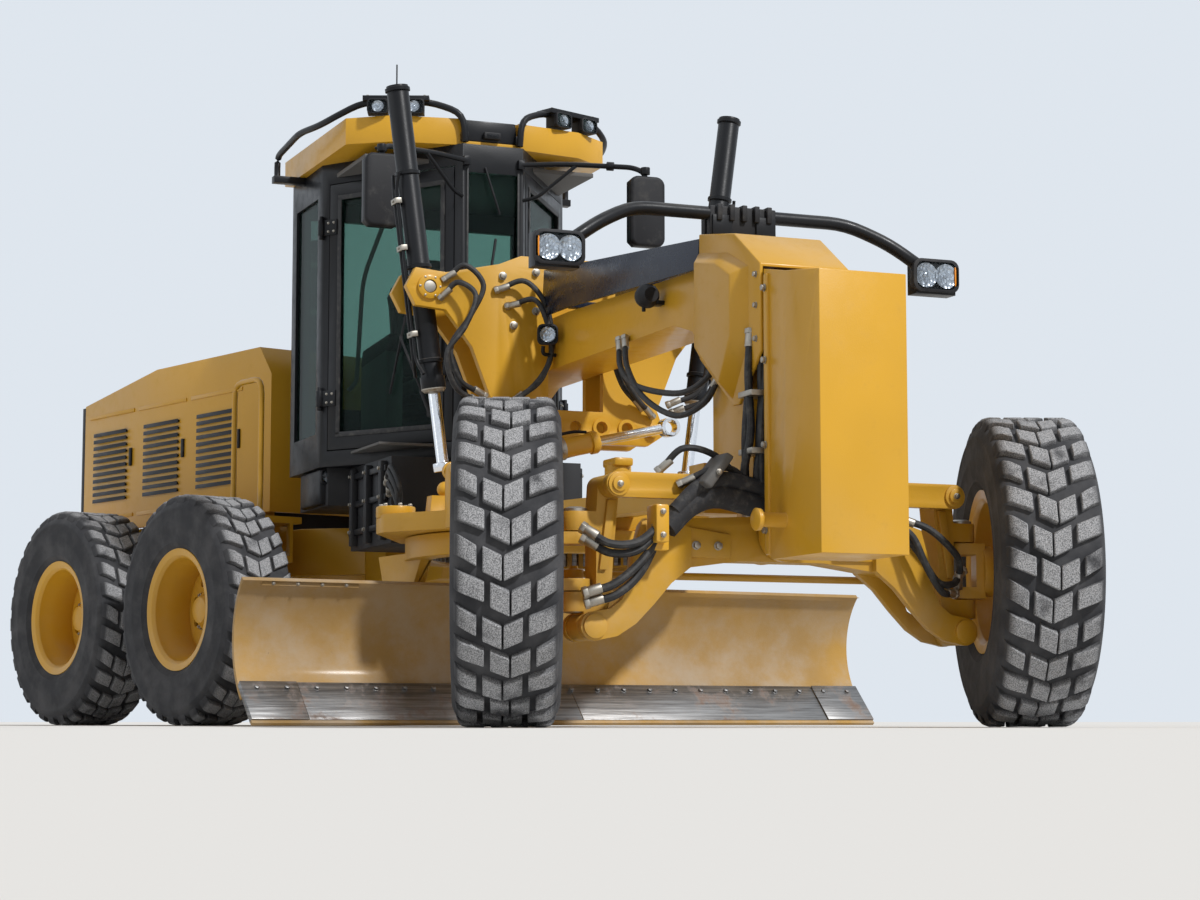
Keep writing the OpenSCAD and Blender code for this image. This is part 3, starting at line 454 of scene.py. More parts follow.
def block(low, high, edge=0.004):
    """A block by two corners with rounded edges."""
    low, high = Vector(low), Vector(high)
    deselect()
    bpy.ops.mesh.primitive_cube_add(size=1, location=(low + high) / 2, scale=high - low)
    part = bpy.context.object
    bpy.ops.object.transform_apply(location=True, rotation=True, scale=True)
    return rounded(part, min(edge, min(high - low) * 0.3))


def aim(start, end):
    """The matrix that brings +Z onto the line from start to end, with its origin at start."""
    start, end = Vector(start), Vector(end)
    return Matrix.Translation(start) @ (end - start).to_track_quat("Z", "Y").to_matrix().to_4x4()


def rod(start, end, radius, sides=32, edge=0.002, end_radius=None):
    """A round bar between two points; with end_radius it is a cone."""
    length = (Vector(end) - Vector(start)).length
    deselect()
    if end_radius is None:
        bpy.ops.mesh.primitive_cylinder_add(vertices=sides, radius=radius, depth=length,
                                            location=(0, 0, length / 2))
    else:
        bpy.ops.mesh.primitive_cone_add(vertices=sides, radius1=radius, radius2=end_radius, depth=length,
                                        location=(0, 0, length / 2))
    part = bpy.context.object
    bpy.ops.object.transform_apply(location=True, rotation=True, scale=True)
    rounded(part, min(edge, radius * 0.3, length * 0.3))
    return moved(part, aim(start, end))


def chain(points):
    """A line of edges drawn by extruding one vertex from point to point."""
    points = [Vector(point) for point in points]
    deselect()
    bpy.ops.mesh.primitive_plane_add(size=0.001, location=(0, 0, 0))
    part = bpy.context.object
    bpy.ops.object.mode_set(mode="EDIT")
    bpy.ops.mesh.merge(type="CENTER")
    bpy.ops.transform.translate(value=points[0])
    for here, there in zip(points, points[1:]):
        bpy.ops.mesh.extrude_region_move(TRANSFORM_OT_translate={"value": there - here})
    bpy.ops.object.mode_set(mode="OBJECT")
    return part


AXES = {"X": lambda u, v, w: (w, u, v), "Y": lambda u, v, w: (u, w, v), "Z": lambda u, v, w: (u, v, w)}


def plate(outline, low, high, along="Y", edge=0.004, segments=2):
    """A plate: an outline in the other two axes, extruded along one axis and rounded."""
    lay = AXES[along]
    part = chain([lay(u, v, low) for u, v in outline])
    push = Vector(lay(0, 0, high - low))
    in_edit_mode(part, bpy.ops.mesh.edge_face_add,
                 lambda: bpy.ops.mesh.extrude_region_move(TRANSFORM_OT_translate={"value": push}),
                 lambda: bpy.ops.mesh.normals_make_consistent(inside=False))
    return rounded(part, min(edge, abs(high - low) * 0.3), segments)


def turned(profile, sides=48, closed=False, edge=0.0, along="Y"):
    """A lathe part: radius and place along the axis for each point of its profile."""
    points = [(r, w, 0) for r, w in profile]
    if closed:
        points.append(points[0])
    part = chain(points)
    in_edit_mode(part, lambda: bpy.ops.mesh.spin(steps=sides, angle=math.tau, center=(0, 0, 0),
                                                 axis=(0, 1, 0)),
                 lambda: bpy.ops.mesh.remove_doubles(threshold=MERGE),
                 lambda: bpy.ops.mesh.normals_make_consistent(inside=False))
    rounded(part, edge)
    if along == "Z":
        moved(part, spun(math.radians(90), "X"))
    if along == "X":
        moved(part, spun(math.radians(-90), "Z"))
    return part


def eased(points, radius, steps=5):
    """The path with its corners rounded."""
    points = [Vector(point) for point in points]
    path = [points[0]]
    for before, corner, after in zip(points, points[1:], points[2:]):
        back, ahead = before - corner, after - corner
        reach = min(radius, back.length / 2.1, ahead.length / 2.1)
        first, last = corner + back.normalized() * reach, corner + ahead.normalized() * reach
        for step in range(steps + 1):
            share = step / steps
            path.append(first.lerp(corner, share).lerp(corner.lerp(last, share), share))
    path.append(points[-1])
    return path


def flowing(points, steps=7):
    """A smooth line through the points, as a hose runs."""
    points = [Vector(point) for point in points]
    ends = [points[0] * 2 - points[1], *points, points[-1] * 2 - points[-2]]
    path = []
    for a, b, c, d in zip(ends, ends[1:], ends[2:], ends[3:]):
        for step in range(steps):
            t = step / steps
            path.append(0.5 * ((2 * b) + (c - a) * t + (2 * a - 5 * b + 4 * c - d) * t * t
                               + (3 * b - a - 3 * c + d) * t ** 3))
    path.append(points[-1])
    return path


def tube(path, radius, resolution=3):
    """A tube swept along a path, with closed ends."""
    line = bpy.data.curves.new("tube", "CURVE")
    line.dimensions = "3D"
    line.bevel_depth = radius
    line.bevel_resolution = resolution
    line.use_fill_caps = True
    spline = line.splines.new("POLY")
    spline.points.add(len(path) - 1)
    for point, place in zip(spline.points, path):
        point.co = (*place, 1)
    part = bpy.data.objects.new("tube", line)
    bpy.context.collection.objects.link(part)
    choose(part)
    bpy.ops.object.convert(target="MESH")
    part = bpy.context.object
    return outward(part)


def hose(points, radius, steps=7, resolution=3):
    """A flexible hose through the points."""
    return tube(flowing(points, steps), radius, resolution)


def bar(points, radius, bend=0.08, resolution=4):
    """A bent steel tube."""
    return tube(eased(points, bend), radius, resolution)


def joined(parts):
    """The parts as one object."""
    choose(*parts)
    if len(parts) > 1:
        bpy.ops.object.join()
    return bpy.context.object


def copies(pattern, matrices):
    """Copies of one modelled pattern, each with its own mesh, joined; the pattern goes."""
    made = []
    for matrix in matrices:
        part = bpy.data.objects.new(pattern.name, pattern.data.copy())
        bpy.context.collection.objects.link(part)
        made.append(moved(part, matrix))
    bpy.data.objects.remove(pattern)
    return joined(made)


def around(count, radius, lay=lambda u, v: (u, v)):
    """The points of a bolt circle, each laid out from its two offsets."""
    turns = [k * math.tau / count for k in range(count)]
    return [lay(radius * math.cos(turn), radius * math.sin(turn)) for turn in turns]


def bolts(places, along, size=0.024, nut=False):
    """Hexagon heads on washers at the places, looking along a direction."""
    washer = rod((0, 0, 0), (0, 0, size * 0.12), size * 0.62, 20, 0.0006)
    head = rod((0, 0, size * 0.1), (0, 0, size * 0.62), size * 0.52, 6, 0.0012)
    parts = [washer, head]
    if nut:
        parts.append(rod((0, 0, size * 0.5), (0, 0, size * 0.95), size * 0.27, 12, 0.001))
    pattern = joined(parts)
    direction = Vector(along)
    return copies(pattern, [aim(place, Vector(place) + direction) for place in places])


def painted_with(part, finish):
    """Gives the part one finish all over."""
    part.data.materials.clear()
    part.data.materials.append(Finishes.get(finish))
    return part


class Piece:
    """One finished piece, gathered from parts drawn in the coordinates of its place."""

    def __init__(self, name, body, place=None):
        self.name = name
        self.body = body
        self.place = place or Matrix.Identity(4)
        self.parts = []

    def add(self, finish, *parts, place=None):
        """Takes parts with their finish, first moved by a place of their own."""
        for part in parts:
            if place:
                moved(part, place)
            self.parts.append(painted_with(part, finish))
        return self

    def bolt(self, places, along, size=0.024, nut=False, place=None):
        """Takes zinc bolts at the places."""
        return self.add("zinc", bolts(places, along, size, nut), place=place)

    def done(self, nodes=(), smooth=35):
        """Joins the parts, puts them in place and makes them ride on the body."""
        whole = joined(self.parts)
        moved(whole, self.place)
        whole.name = whole.data.name = self.name
        choose(whole)
        bpy.ops.object.shade_smooth_by_angle(angle=math.radians(smooth))
        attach(whole, self.body)
        if nodes:
            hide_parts(*nodes)
        return whole


def body_of(node):
    """The body that carries a CAD node."""
    return next(name for name, members in frame["record"]["behaviour"]["bodies"].items() if node in members)


def solid_copy(node):
    """A clean copy of a CAD node: its points merged and its flat faces whole again."""
    part = bpy.data.objects.new(node + "_finish", NODES[node].data.copy())
    bpy.context.collection.objects.link(part)
    part.data.transform(NODES[node].matrix_world)
    return in_edit_mode(part, lambda: bpy.ops.mesh.remove_doubles(threshold=0.00005),
                        lambda: bpy.ops.mesh.tris_convert_to_quads(face_threshold=0.01,
                                                                   shape_threshold=0.8),
                        lambda: bpy.ops.mesh.dissolve_limited(angle_limit=math.radians(0.6),
                                                              delimit={"NORMAL"}))


def dress(node, finish, edge=0.005, segments=2, angle=38, extra=()):
    """A node's solid with rounded edges and its finish, with extra parts joined on."""
    part = rounded(solid_copy(node), edge, segments, angle)
    piece = Piece(node + "_finish", body_of(node))
    piece.add(finish, part)
    for kind, made in extra:
        piece.add(kind, made)
    return piece.done((node,))


class GraderSizes(bpy.types.PropertyGroup):
    """Sizes of the machine's finish that a user would change."""

    tread_rows: IntProperty(name="Tread rows",
                            description="Rows of tread blocks round a tyre, an even number",
                            default=30, min=20, max=40)
    tread_depth: FloatProperty(name="Tread depth",
                               description="Height of the tread blocks over the carcass",
                               default=0.027, min=0.015, max=0.035, unit="LENGTH")
    edge_round: FloatProperty(name="Edge rounding", description="Rounding of the welded plates' edges",
                              default=0.005, min=0.001, max=0.01, unit="LENGTH")
    hose_radius: FloatProperty(name="Hose radius", description="Outer radius of the hydraulic hoses",
                               default=0.014, min=0.008, max=0.02, unit="LENGTH")


class GraderColours(bpy.types.PropertyGroup):
    """Main colours of the machine."""

    yellow: FloatVectorProperty(name="Yellow", description="Body paint", subtype="COLOR", size=3,
                                default=(0.65, 0.35, 0.022), min=0, max=1)
    black: FloatVectorProperty(name="Black", description="Cab and bracket paint", subtype="COLOR", size=3,
                               default=(0.007, 0.0075, 0.009), min=0, max=1)


def sizes():
    return bpy.context.scene.grader_sizes


def colours():
    return bpy.context.scene.grader_colours


# Wheels

TYRE_R = 0.675
BEAD_R = 0.317
SWEEP = 0.5  # run of the chevron along the tread for each metre across it
STAGGER = 0.015  # sideways step between neighbouring rows
TREAD_SINK = 0.0012  # keeps the blocks' tops inside the tyre's own radius


def tread_block(section, length, parity, depth):
    """One block: a section across the tyre pushed along the tread, its ends swept back with the chevron."""
    low = -length / 2
    part = plate(section, low, low + length, "X", 0.0)
    for vertex in part.data.vertices:
        # the block is a little longer at its foot, and each row is one chevron
        draft = 1 + 0.16 * min(1, max(0, -vertex.co.z / depth))
        vertex.co.x = vertex.co.x * draft - SWEEP * abs(vertex.co.y)
        # the rows are staggered, but the outer walls stay in line
        vertex.co.y += parity * STAGGER * (abs(vertex.co.y) < 0.15)
        # and it is bent round the tyre
        turn, reach = vertex.co.x / TYRE_R, TYRE_R + vertex.co.z
        vertex.co.x, vertex.co.z = math.sin(turn) * reach, math.cos(turn) * reach - TYRE_R
    return rounded(part, 0.0035, 1, 40)


def other(outline):
    """The outline mirrored to the other side."""
    return [(-y, z) for y, z in reversed(outline)]


def tread(depth, rows):
    """All tread blocks round a tyre, drawn at its top and copied round it."""
    foot = -depth - 0.008
    rib = [(0.004, foot), (0.0795, foot), (0.077, 0), (0.004, 0)]
    shoulder = [(0.100, foot), (0.201, foot - 0.062), (0.2035, -0.052), (0.194, -0.020), (0.180, -0.006),
                (0.160, 0), (0.102, 0)]
    pitch = math.tau / rows
    parts = []
    sections = [(side, length) for half, length in ((rib, 0.096), (shoulder, 0.078))
                for side in (half, other(half))]
    for parity in (1, -1):
        for section, length in sections:
            pattern = moved(tread_block(section, length, parity, depth), at(0, 0, TYRE_R - TREAD_SINK))
            turns = [pitch * row for row in range(rows) if row % 2 == (parity < 0)]
            parts.append(copies(pattern, [spun(turn, "Y") for turn in turns]))
    return joined(parts)


def carcass(depth):
    """The tyre's body: beads, bulged walls with moulded rings, and the base between the blocks."""
    half = [(BEAD_R, 0.16), (BEAD_R, 0.178), (0.350, 0.180), (0.360, 0.186), (0.372, 0.200), (0.388, 0.207),
            (0.392, 0.2105), (0.400, 0.2105), (0.404, 0.2105), (0.440, 0.2165), (0.478, 0.2205),
            (0.484, 0.222),
            (0.500, 0.222), (0.506, 0.2208), (0.545, 0.219), (0.575, 0.2165), (0.582, 0.2180),
            (0.592, 0.2175),
            (0.598, 0.2145), (0.618, 0.206), (0.634, 0.192), (TYRE_R - depth - 0.004, 0.165),
            (TYRE_R - depth - 0.001, 0.10)]
    profile = half + [(r, -y) for r, y in reversed(half)]
    return turned(profile, 96, closed=True)


def tyre(name, body, spin, side):
    """Carcass and tread of one wheel, in place of its CAD solid."""
    depth = sizes().tread_depth
    piece = Piece(name + "_rubber", body, sided(wheel_place(spin), side))
    piece.add("tyre", carcass(depth), tread(depth, sizes().tread_rows))
    whole = piece.done((name,), 32)
    # the tops of the blocks are marked, because ground dust stays on them
    mark = whole.data.attributes.new("tread", "FLOAT", "POINT")
    place = wheel_place(spin).inverted()
    reach = [math.hypot((place @ vertex.co).x, (place @ vertex.co).z) for vertex in whole.data.vertices]
    mark.data.foreach_set("value", [min(1, max(0, (r - TYRE_R + 0.016) / 0.012)) for r in reach])
    return whole


FRONT_DISH = 0.08  # the discs' places across the wheels, outwards
REAR_DISH = -0.06
NUT_CIRCLE = 0.158


def rim(name, body, spin, side, dish):
    """Wheel rim: drop centre, flanges, dished disc with hand holes, hub and nuts."""
    piece = Piece(name + "_steel", body, sided(wheel_place(spin), side))
    wall = 0.017
    outer = [(0.3575, 0.192), (0.3575, 0.178), (0.345, 0.172), (BEAD_R, 0.168), (BEAD_R - 0.001, 0.12),
             (0.300, 0.09), (0.298, 0.0), (0.300, -0.09), (BEAD_R - 0.001, -0.12), (BEAD_R, -0.168),
             (0.345, -0.172),
             (0.3575, -0.178), (0.3575, -0.192)]
    inner = [(0.345, -0.188), (0.318, -0.184), (BEAD_R - wall, -0.165), (0.298, -0.12), (0.283, -0.09),
             (0.281, 0.0),
             (0.283, 0.09), (0.298, 0.12), (BEAD_R - wall, 0.165), (0.318, 0.184), (0.345, 0.188)]
    barrel = turned(outer + inner, 72, closed=True, edge=0.003)
    disc = turned([(0.284, dish - 0.012), (0.284, dish + 0.006), (0.262, dish + 0.012),
                   (0.250, dish + 0.009),
                   (0.112, dish + 0.009), (0.112, dish - 0.009), (0.250, dish - 0.009),
                   (0.262, dish - 0.006)],
                  72, closed=True, edge=0.002)
    holes = copies(rod((0.207, dish - 0.05, 0), (0.207, dish + 0.05, 0), 0.025, 20, 0),
                   [spun(math.radians(18 + 36 * k), "Y") for k in range(10)])
    cut(disc, holes)
    hub = turned([(0.062, dish - 0.09), (0.115, dish - 0.09), (0.115, dish + 0.055), (0.100, dish + 0.062),
                  (0.076, dish + 0.104), (0.030, dish + 0.112), (0.0, dish + 0.112), (0.0, dish + 0.09),
                  (0.062, dish + 0.09)], 48, closed=True, edge=0.002)
    piece.add("yellow", barrel, disc, hub)
    ring = around(10, NUT_CIRCLE, lambda u, v: Vector((u, dish + 0.009, v)))
    piece.bolt(ring, (0, 1, 0), 0.03, nut=True)
    back = [Vector((p.x, dish - 0.009, p.z)) for p in ring]
    piece.bolt(back, (0, -1, 0), 0.026)
    valve = hose([(0.27, dish + 0.0, 0.05), (0.255, dish + 0.03, 0.045), (0.24, dish + 0.05, 0.04)], 0.005,
                 3, 2)
    piece.add("zinc", valve)
    return piece.done((name,), 40)


def cut(part, cutter):
    """Cuts the cutter out of the part, and removes the cutter."""
    modified(part, "BOOLEAN", object=cutter, operation="DIFFERENCE", solver="EXACT")
    bpy.data.objects.remove(cutter)
    return part


WHEELS = (
    ("front_right", -1), ("front_left", 1),
    ("right_mid", -1), ("left_mid", 1), ("right_rear", -1), ("left_rear", 1),
)


class GRADER_OT_tyres(bpy.types.Operator):
    """Six tyres with staggered chevron blocks"""

    bl_idname = "grader.tyres"
    bl_label = "Tyres"

    def execute(self, context):
        for name, side in WHEELS:
            node = f"tyre_{name}"
            tyre(node, body_of(node), f"wheel_{name}_spin", side)
        return {"FINISHED"}


class GRADER_OT_rims(bpy.types.Operator):
    """Six rims with their discs, hubs and nuts"""

    bl_idname = "grader.rims"
    bl_label = "Rims"

    def execute(self, context):
        for name, side in WHEELS:
            node = f"rim_{name}"
            dish = FRONT_DISH if name.startswith("front") else REAR_DISH
            rim(node, body_of(node), f"wheel_{name}_spin", side, dish)
        return {"FINISHED"}


# Frames and plates: the solids' copies with rounded edges

DRESSED = {
    "rear_frame": "yellow", "rear_rails": "yellow", "rear_axle": "casting", "tandem_right": "yellow",
    "tandem_left": "yellow", "engine_hood": "yellow", "walkways": "yellow", "exhaust_stack": "black",
    "radiator_grille": "black", "engine": "grey", "front_frame": "yellow", "saddle": "casting",
    "nose_cover": "yellow", "front_weight": "yellow", "side_covers": "navy", "headlight_bar": "black",
    "cab_frame": "black", "cab_roof": "yellow", "cab_base": "grey", "light_frames": "black",
    "controls": "trim", "door_right": "black", "door_left": "black", "front_axle": "casting",
    "lean_bar": "casting", "fork_right": "casting", "fork_left": "casting", "knuckle_right": "casting",
    "knuckle_left": "casting", "tie_rod": "casting", "lift_barrel_right": "black",
    "lift_barrel_left": "black",
    "lift_rod_right": "chrome", "lift_rod_left": "chrome", "drawbar_ball": "zinc", "tie_rod_ball": "zinc",
    "drawbar": "casting", "circle": "casting", "blade_carrier": "casting", "moldboard": "blade",
    "shift_barrel": "yellow", "shift_rod": "chrome",
}
GLAZED = ("cab_glass", "door_right_glass", "door_left_glass")


class GRADER_OT_plates(bpy.types.Operator):
    """Rounded edges and finishes for the welded frames, castings, panels and cylinders"""

    bl_idname = "grader.plates"
    bl_label = "Frames and plates"

    def execute(self, context):
        for node, finish in DRESSED.items():
            dress(node, finish, sizes().edge_round)
        for node in GLAZED:
            glaze(node)
        return {"FINISHED"}


def glaze(node):
    """Gives a CAD pane its glass."""
    pane = NODES[node]
    pane.data.materials.clear()
    pane.data.materials.append(Finishes.get("glass"))


# Shapes that several groups share


def round_corners(width, height, radius, steps=4):
    """Outline of a rectangle about the origin with round corners."""
    points = []
    for turn, (u, v) in enumerate(((1, 1), (-1, 1), (-1, -1), (1, -1))):
        for step in range(steps + 1):
            angle = math.radians(90 * (turn + step / steps))
            points.append((u * (width / 2 - radius) + radius * math.cos(angle),
                           v * (height / 2 - radius) + radius * math.sin(angle)))
    return points


def lamp(piece, place, width, height, depth, bowls=(0.0,)):
    """A lamp that faces +X: shell with tapered back, bezel, reflector bowls at their places, bulbs and lens."""
    corner = min(width, height) * 0.26
    shell = plate(round_corners(width, height, corner), -depth, 0, "X", 0.006, 3)
    for vertex in shell.data.vertices:
        back = max(0, -vertex.co.x / depth - 0.35)
        vertex.co.y *= 1 - 0.45 * back
        vertex.co.z *= 1 - 0.45 * back
    bezel = plate(round_corners(width, height, corner), -0.002, 0.010, "X", 0.003)
    cut(bezel, plate(round_corners(width * 0.86, height * 0.82, corner * 0.8), -0.01, 0.02, "X", 0))
    size = height * 0.37
    backs = []
    for y in bowls:
        dish = turned([(0.0, 0.0012), (size * 0.45, 0.0018), (size * 0.8, 0.0034), (size, 0.006),
                       (size, 0.0)], 36,
                      along="X")
        bulb = rod((0.0005, 0, 0), (0.005, 0, 0), size * 0.2, 20, 0.001)
        backs += [moved(part, at(0, y, 0)) for part in (dish, bulb)]
    glass = plate(round_corners(width * 0.87, height * 0.83, corner * 0.8), 0.0065, 0.0095, "X", 0.001)
    piece.add("plastic", shell, bezel, place=place)
    piece.add("reflector", *backs, place=place)
    piece.add("lens", glass, place=place)


def clamp(centre, along, radius, size=0.02):
    """A two-bolt hose clamp round a point of a tube."""
    centre, along = Vector(centre), Vector(along).normalized()
    profile = [(radius - 0.001, -size), (radius + 0.008, -size), (radius + 0.008, size),
               (radius - 0.001, size)]
    ring = moved(turned(profile, 24, closed=True, edge=0.002, along="Z"), aim(centre, centre + along))
    side = along.cross(Vector((0.3, 0.2, 0.9))).normalized()
    head = rod(centre + side * radius, centre + side * (radius + 0.02), 0.008, 6, 0.001)
    return joined([ring, head])


def fitted(piece, points, radius=None, finish="hose"):
    """A hose with a crimped metal fitting at each end."""
    radius = radius or sizes().hose_radius
    points = [Vector(point) for point in points]
    piece.add(finish, hose(points, radius))
    for end, inner in ((points[0], points[1]), (points[-1], points[-2])):
        along = (inner - end).normalized()
        piece.add("zinc", rod(end - along * 0.012, end + along * 0.05, radius * 1.25, 16, 0.002),
                  rod(end - along * 0.03, end - along * 0.008, radius * 1.5, 6, 0.002))


# Lights and mirrors


LAMP_TURN = math.radians(21.5)
LAMP_ROW = Vector((-3.714, 0.52, 3.452))
MIRROR = Vector((-3.171, 0.77, 2.856))


class GRADER_OT_lights(bpy.types.Operator):
    """Work lamps over the roof, headlights, lamps on the frame, beacon and mirrors"""

    bl_idname = "grader.lights"
    bl_label = "Lights and mirrors"

    def execute(self, context):
        for side, sign in SIDES:
            piece = Piece(f"roof_lamps_{side}", "front_frame", sided(FRONT, sign))
            row = Matrix.Translation(LAMP_ROW) @ spun(LAMP_TURN, "Z")
            for y in (-0.1, 0.1):
                lamp(piece, row @ at(0.064, y, 0), 0.122, 0.088, 0.07)
                piece.add("black", block((-0.03, y - 0.012, 0.03), (0.03, y + 0.012, 0.05), 0.003),
                          place=row)
            piece.bolt([(x, y, 0.064) for x in (-0.045, 0.035) for y in (-0.16, 0.16)], (0, 0, 1), 0.013,
                       place=row)
            piece.done()
            piece = Piece(f"headlight_{side}", "front_frame", sided(FRONT, sign))
            lamp(piece, at(-0.182, 0.905, 2.012), 0.232, 0.150, 0.105, (-0.05, 0.05))
            piece.add("amber", plate(round_corners(0.018, 0.09, 0.006), -0.001, 0.006, "X"),
                      place=at(-0.178, 1.006, 2.012))
            piece.add("black", bar([(-0.235, 0.80, 2.07), (-0.235, 0.86, 2.085), (-0.235, 0.90, 2.07)],
                                   0.014, 0.03))
            piece.bolt([(-0.245, 0.78, 2.105), (-0.245, 0.74, 2.13)], (0, 0.4, 1), 0.016)
            piece.done()
            piece = Piece(f"mirror_{side}", "front_frame", sided(FRONT, sign))
            shell = plate(round_corners(0.206, 0.40, 0.05, 6), 0, 0.055, "X", 0.018, 4)
            bulge(shell, 0.055, 0.018)
            piece.add("plastic", shell, place=Matrix.Translation(MIRROR + Vector((-0.012, 0, 0))))
            piece.add("reflector", plate(round_corners(0.182, 0.372, 0.04, 6), 0, 0.004, "X", 0.001),
                      place=Matrix.Translation(MIRROR + Vector((-0.043, 0, 0))))
            piece.add("black", clamp(MIRROR + Vector((0, 0, 0.235)), (0, 0, 1), 0.018),
                      clamp((-3.30, 0.61, 3.132), (0.52, 0.85, -0.09), 0.017))
            # brace from the pillar to the arm
            piece.add("black", bar([(-3.566, 0.172, 2.95), (-3.50, 0.25, 2.965), (-3.40, 0.44, 3.14)],
                                   0.011, 0.04))
            piece.done()
        work = Piece("beam_lamp", "front_frame", FRONT)
        lamp(work, at(-2.07, -0.235, 1.95) @ spun(math.radians(-14), "Z"),
             0.105, 0.105, 0.075)
        work.add("black", bar([(-2.13, -0.235, 1.90), (-2.14, -0.235, 1.86), (-2.15, -0.16, 1.86)], 0.010,
                              0.02))
        ball = turned([(0, -0.055), (0.03, -0.052), (0.05, -0.03), (0.057, 0), (0.052, 0.024),
                       (0.036, 0.045),
                       (0.034, 0.052), (0.0, 0.052)], 32, along="X")
        work.add("plastic", ball, place=at(-0.83, -0.225, 1.95))
        work.add("black", block((-0.87, -0.19, 1.91), (-0.80, -0.149, 1.93), 0.003),
                 rod((-0.845, -0.235, 1.93), (-0.845, -0.235, 1.88), 0.009))
        work.done()
        rear = Piece("rear_lamps", "rear_frame", REAR)
        for y in (-0.55, 0.55):
            rear.add("plastic", plate(round_corners(0.16, 0.1, 0.02), -8.056, -8.05, "X", 0.002),
                     place=at(0, y, 1.13))
            for offset, lens in ((-0.045, "red"), (0.0, "amber"), (0.045, "reflector")):
                dome = turned([(0, -0.016), (0.014, -0.012), (0.019, 0)], 20, along="X")
                rear.add(lens, dome, place=at(-8.056, y + offset, 1.13))
        rear.done()
        beacon = Piece("beacon", "front_frame", FRONT)
        # dark visor in the roof's front recess
        beacon.add("black", plate([(-0.160, 3.278), (0.160, 3.278), (0.150, 3.398), (-0.150, 3.398)],
                                  -3.617, -3.592,
                                  "X", 0.008))
        beacon.add("plastic", block((-3.585, -0.05, 3.29), (-3.556, 0.05, 3.33), 0.006))
        beacon.add("lens", plate(round_corners(0.07, 0.024, 0.008), -3.558, -3.553, "X", 0.001),
                   place=at(0, 0, 3.31))
        feet = (3.45, 3.478)
        beacon.add("black", *[rod((-4.413, -0.30, z), (-4.413, -0.30, z + 0.018), 0.027, 24) for z in feet])
        beacon.done()
        return {"FINISHED"}


def bulge(part, face, height):
    """Crowns a plate's front face that lies at the given X."""
    reach = max(vertex.co.z for vertex in part.data.vertices)
    for vertex in part.data.vertices:
        if vertex.co.x > face - 0.02:
            vertex.co.x += height * (1 - min(1, abs(vertex.co.z) / reach) ** 2) * 0.4


# Cab

PILLAR = Vector((-4.40, 0.75, 0))
DOOR_TURN = -math.atan2(0.57, 0.85)
DOOR_RUN = math.hypot(0.57, 0.85)
SILL = 1.57
DOOR_TOP = 3.13
DOOR = Matrix.Translation(PILLAR) @ spun(DOOR_TURN, "Z")


def window_seal(low, high, inner, outer, y):
    """A rubber frame in the door's plane round an opening."""
    (x0, z0), (x1, z1) = low, high
    bars = (
        (x0 - outer, x1 + outer, z0 - outer, z0 + inner),
        (x0 - outer, x1 + outer, z1 - inner, z1 + outer),
        (x0 - outer, x0 + inner, z0, z1),
        (x1 - inner, x1 + outer, z0, z1),
    )
    return joined([block((x, y, z), (x_end, y + 0.007, z_end), 0.003) for x, x_end, z, z_end in bars])


def wiper(foot, knee, low, high):
    """Arm, spring box and blade of a wiper."""
    foot, knee = Vector(foot), Vector(knee)
    return joined([rod(foot, knee, 0.007, 12), rod(low, high, 0.0075, 8),
                   rod(foot, foot.lerp(knee, 0.3), 0.013, 12),
                   rod(foot - Vector((0, 0.02, 0)), foot + Vector((0, 0.012, 0)), 0.02, 20)])


SEAM_WIDTH = 0.016
SEAM_DEPTH = 0.006


def cushion(name, low, high, crown, lean=0.0, seams=()):
    """A padded cloth block: remeshed, blown up by a cloth simulation, held back and smoothed."""
    part = block(low, high, 0.03)
    middle = (Vector(low) + Vector(high)) / 2
    if lean:
        moved(part, at(*middle) @ spun(lean, "Y") @ at(*-middle))
    modified(part, "REMESH", mode="VOXEL", voxel_size=0.007)
    start = [vertex.co.copy() for vertex in part.data.vertices]
    choose(part)
    modifier = part.modifiers.new("Cloth", "CLOTH")
    settings = modifier.settings
    settings.quality = 4
    settings.use_pressure = True
    settings.uniform_pressure_force = 4.0
    settings.effector_weights.gravity = 0
    for frame_number in range(1, 21):
        bpy.context.scene.frame_set(frame_number)
    bpy.ops.object.modifier_apply(modifier=modifier.name)
    bpy.context.scene.frame_set(1)
    for vertex, before in zip(part.data.vertices, start):
        push = vertex.co - before
        if push.length > crown:
            vertex.co = before + push * (crown / push.length)
    for along, place in seams:
        for vertex in part.data.vertices:
            gap = abs((vertex.co - middle)[along] - place)
            if gap < SEAM_WIDTH:
                inward = middle - vertex.co
                inward[along] = 0
                vertex.co += inward.normalized() * SEAM_DEPTH * (1 - gap / SEAM_WIDTH)
    modified(part, "SUBSURF", levels=1, render_levels=1)
    return part


def seat_pad(name, low, high, crown, lean, seams):
    """One padded piece of the seat."""
    piece = Piece(name, "front_frame", FRONT)
    piece.add("cloth", cushion(name, low, high, crown, lean, seams))
    whole = piece.done(("seat",), smooth=180)


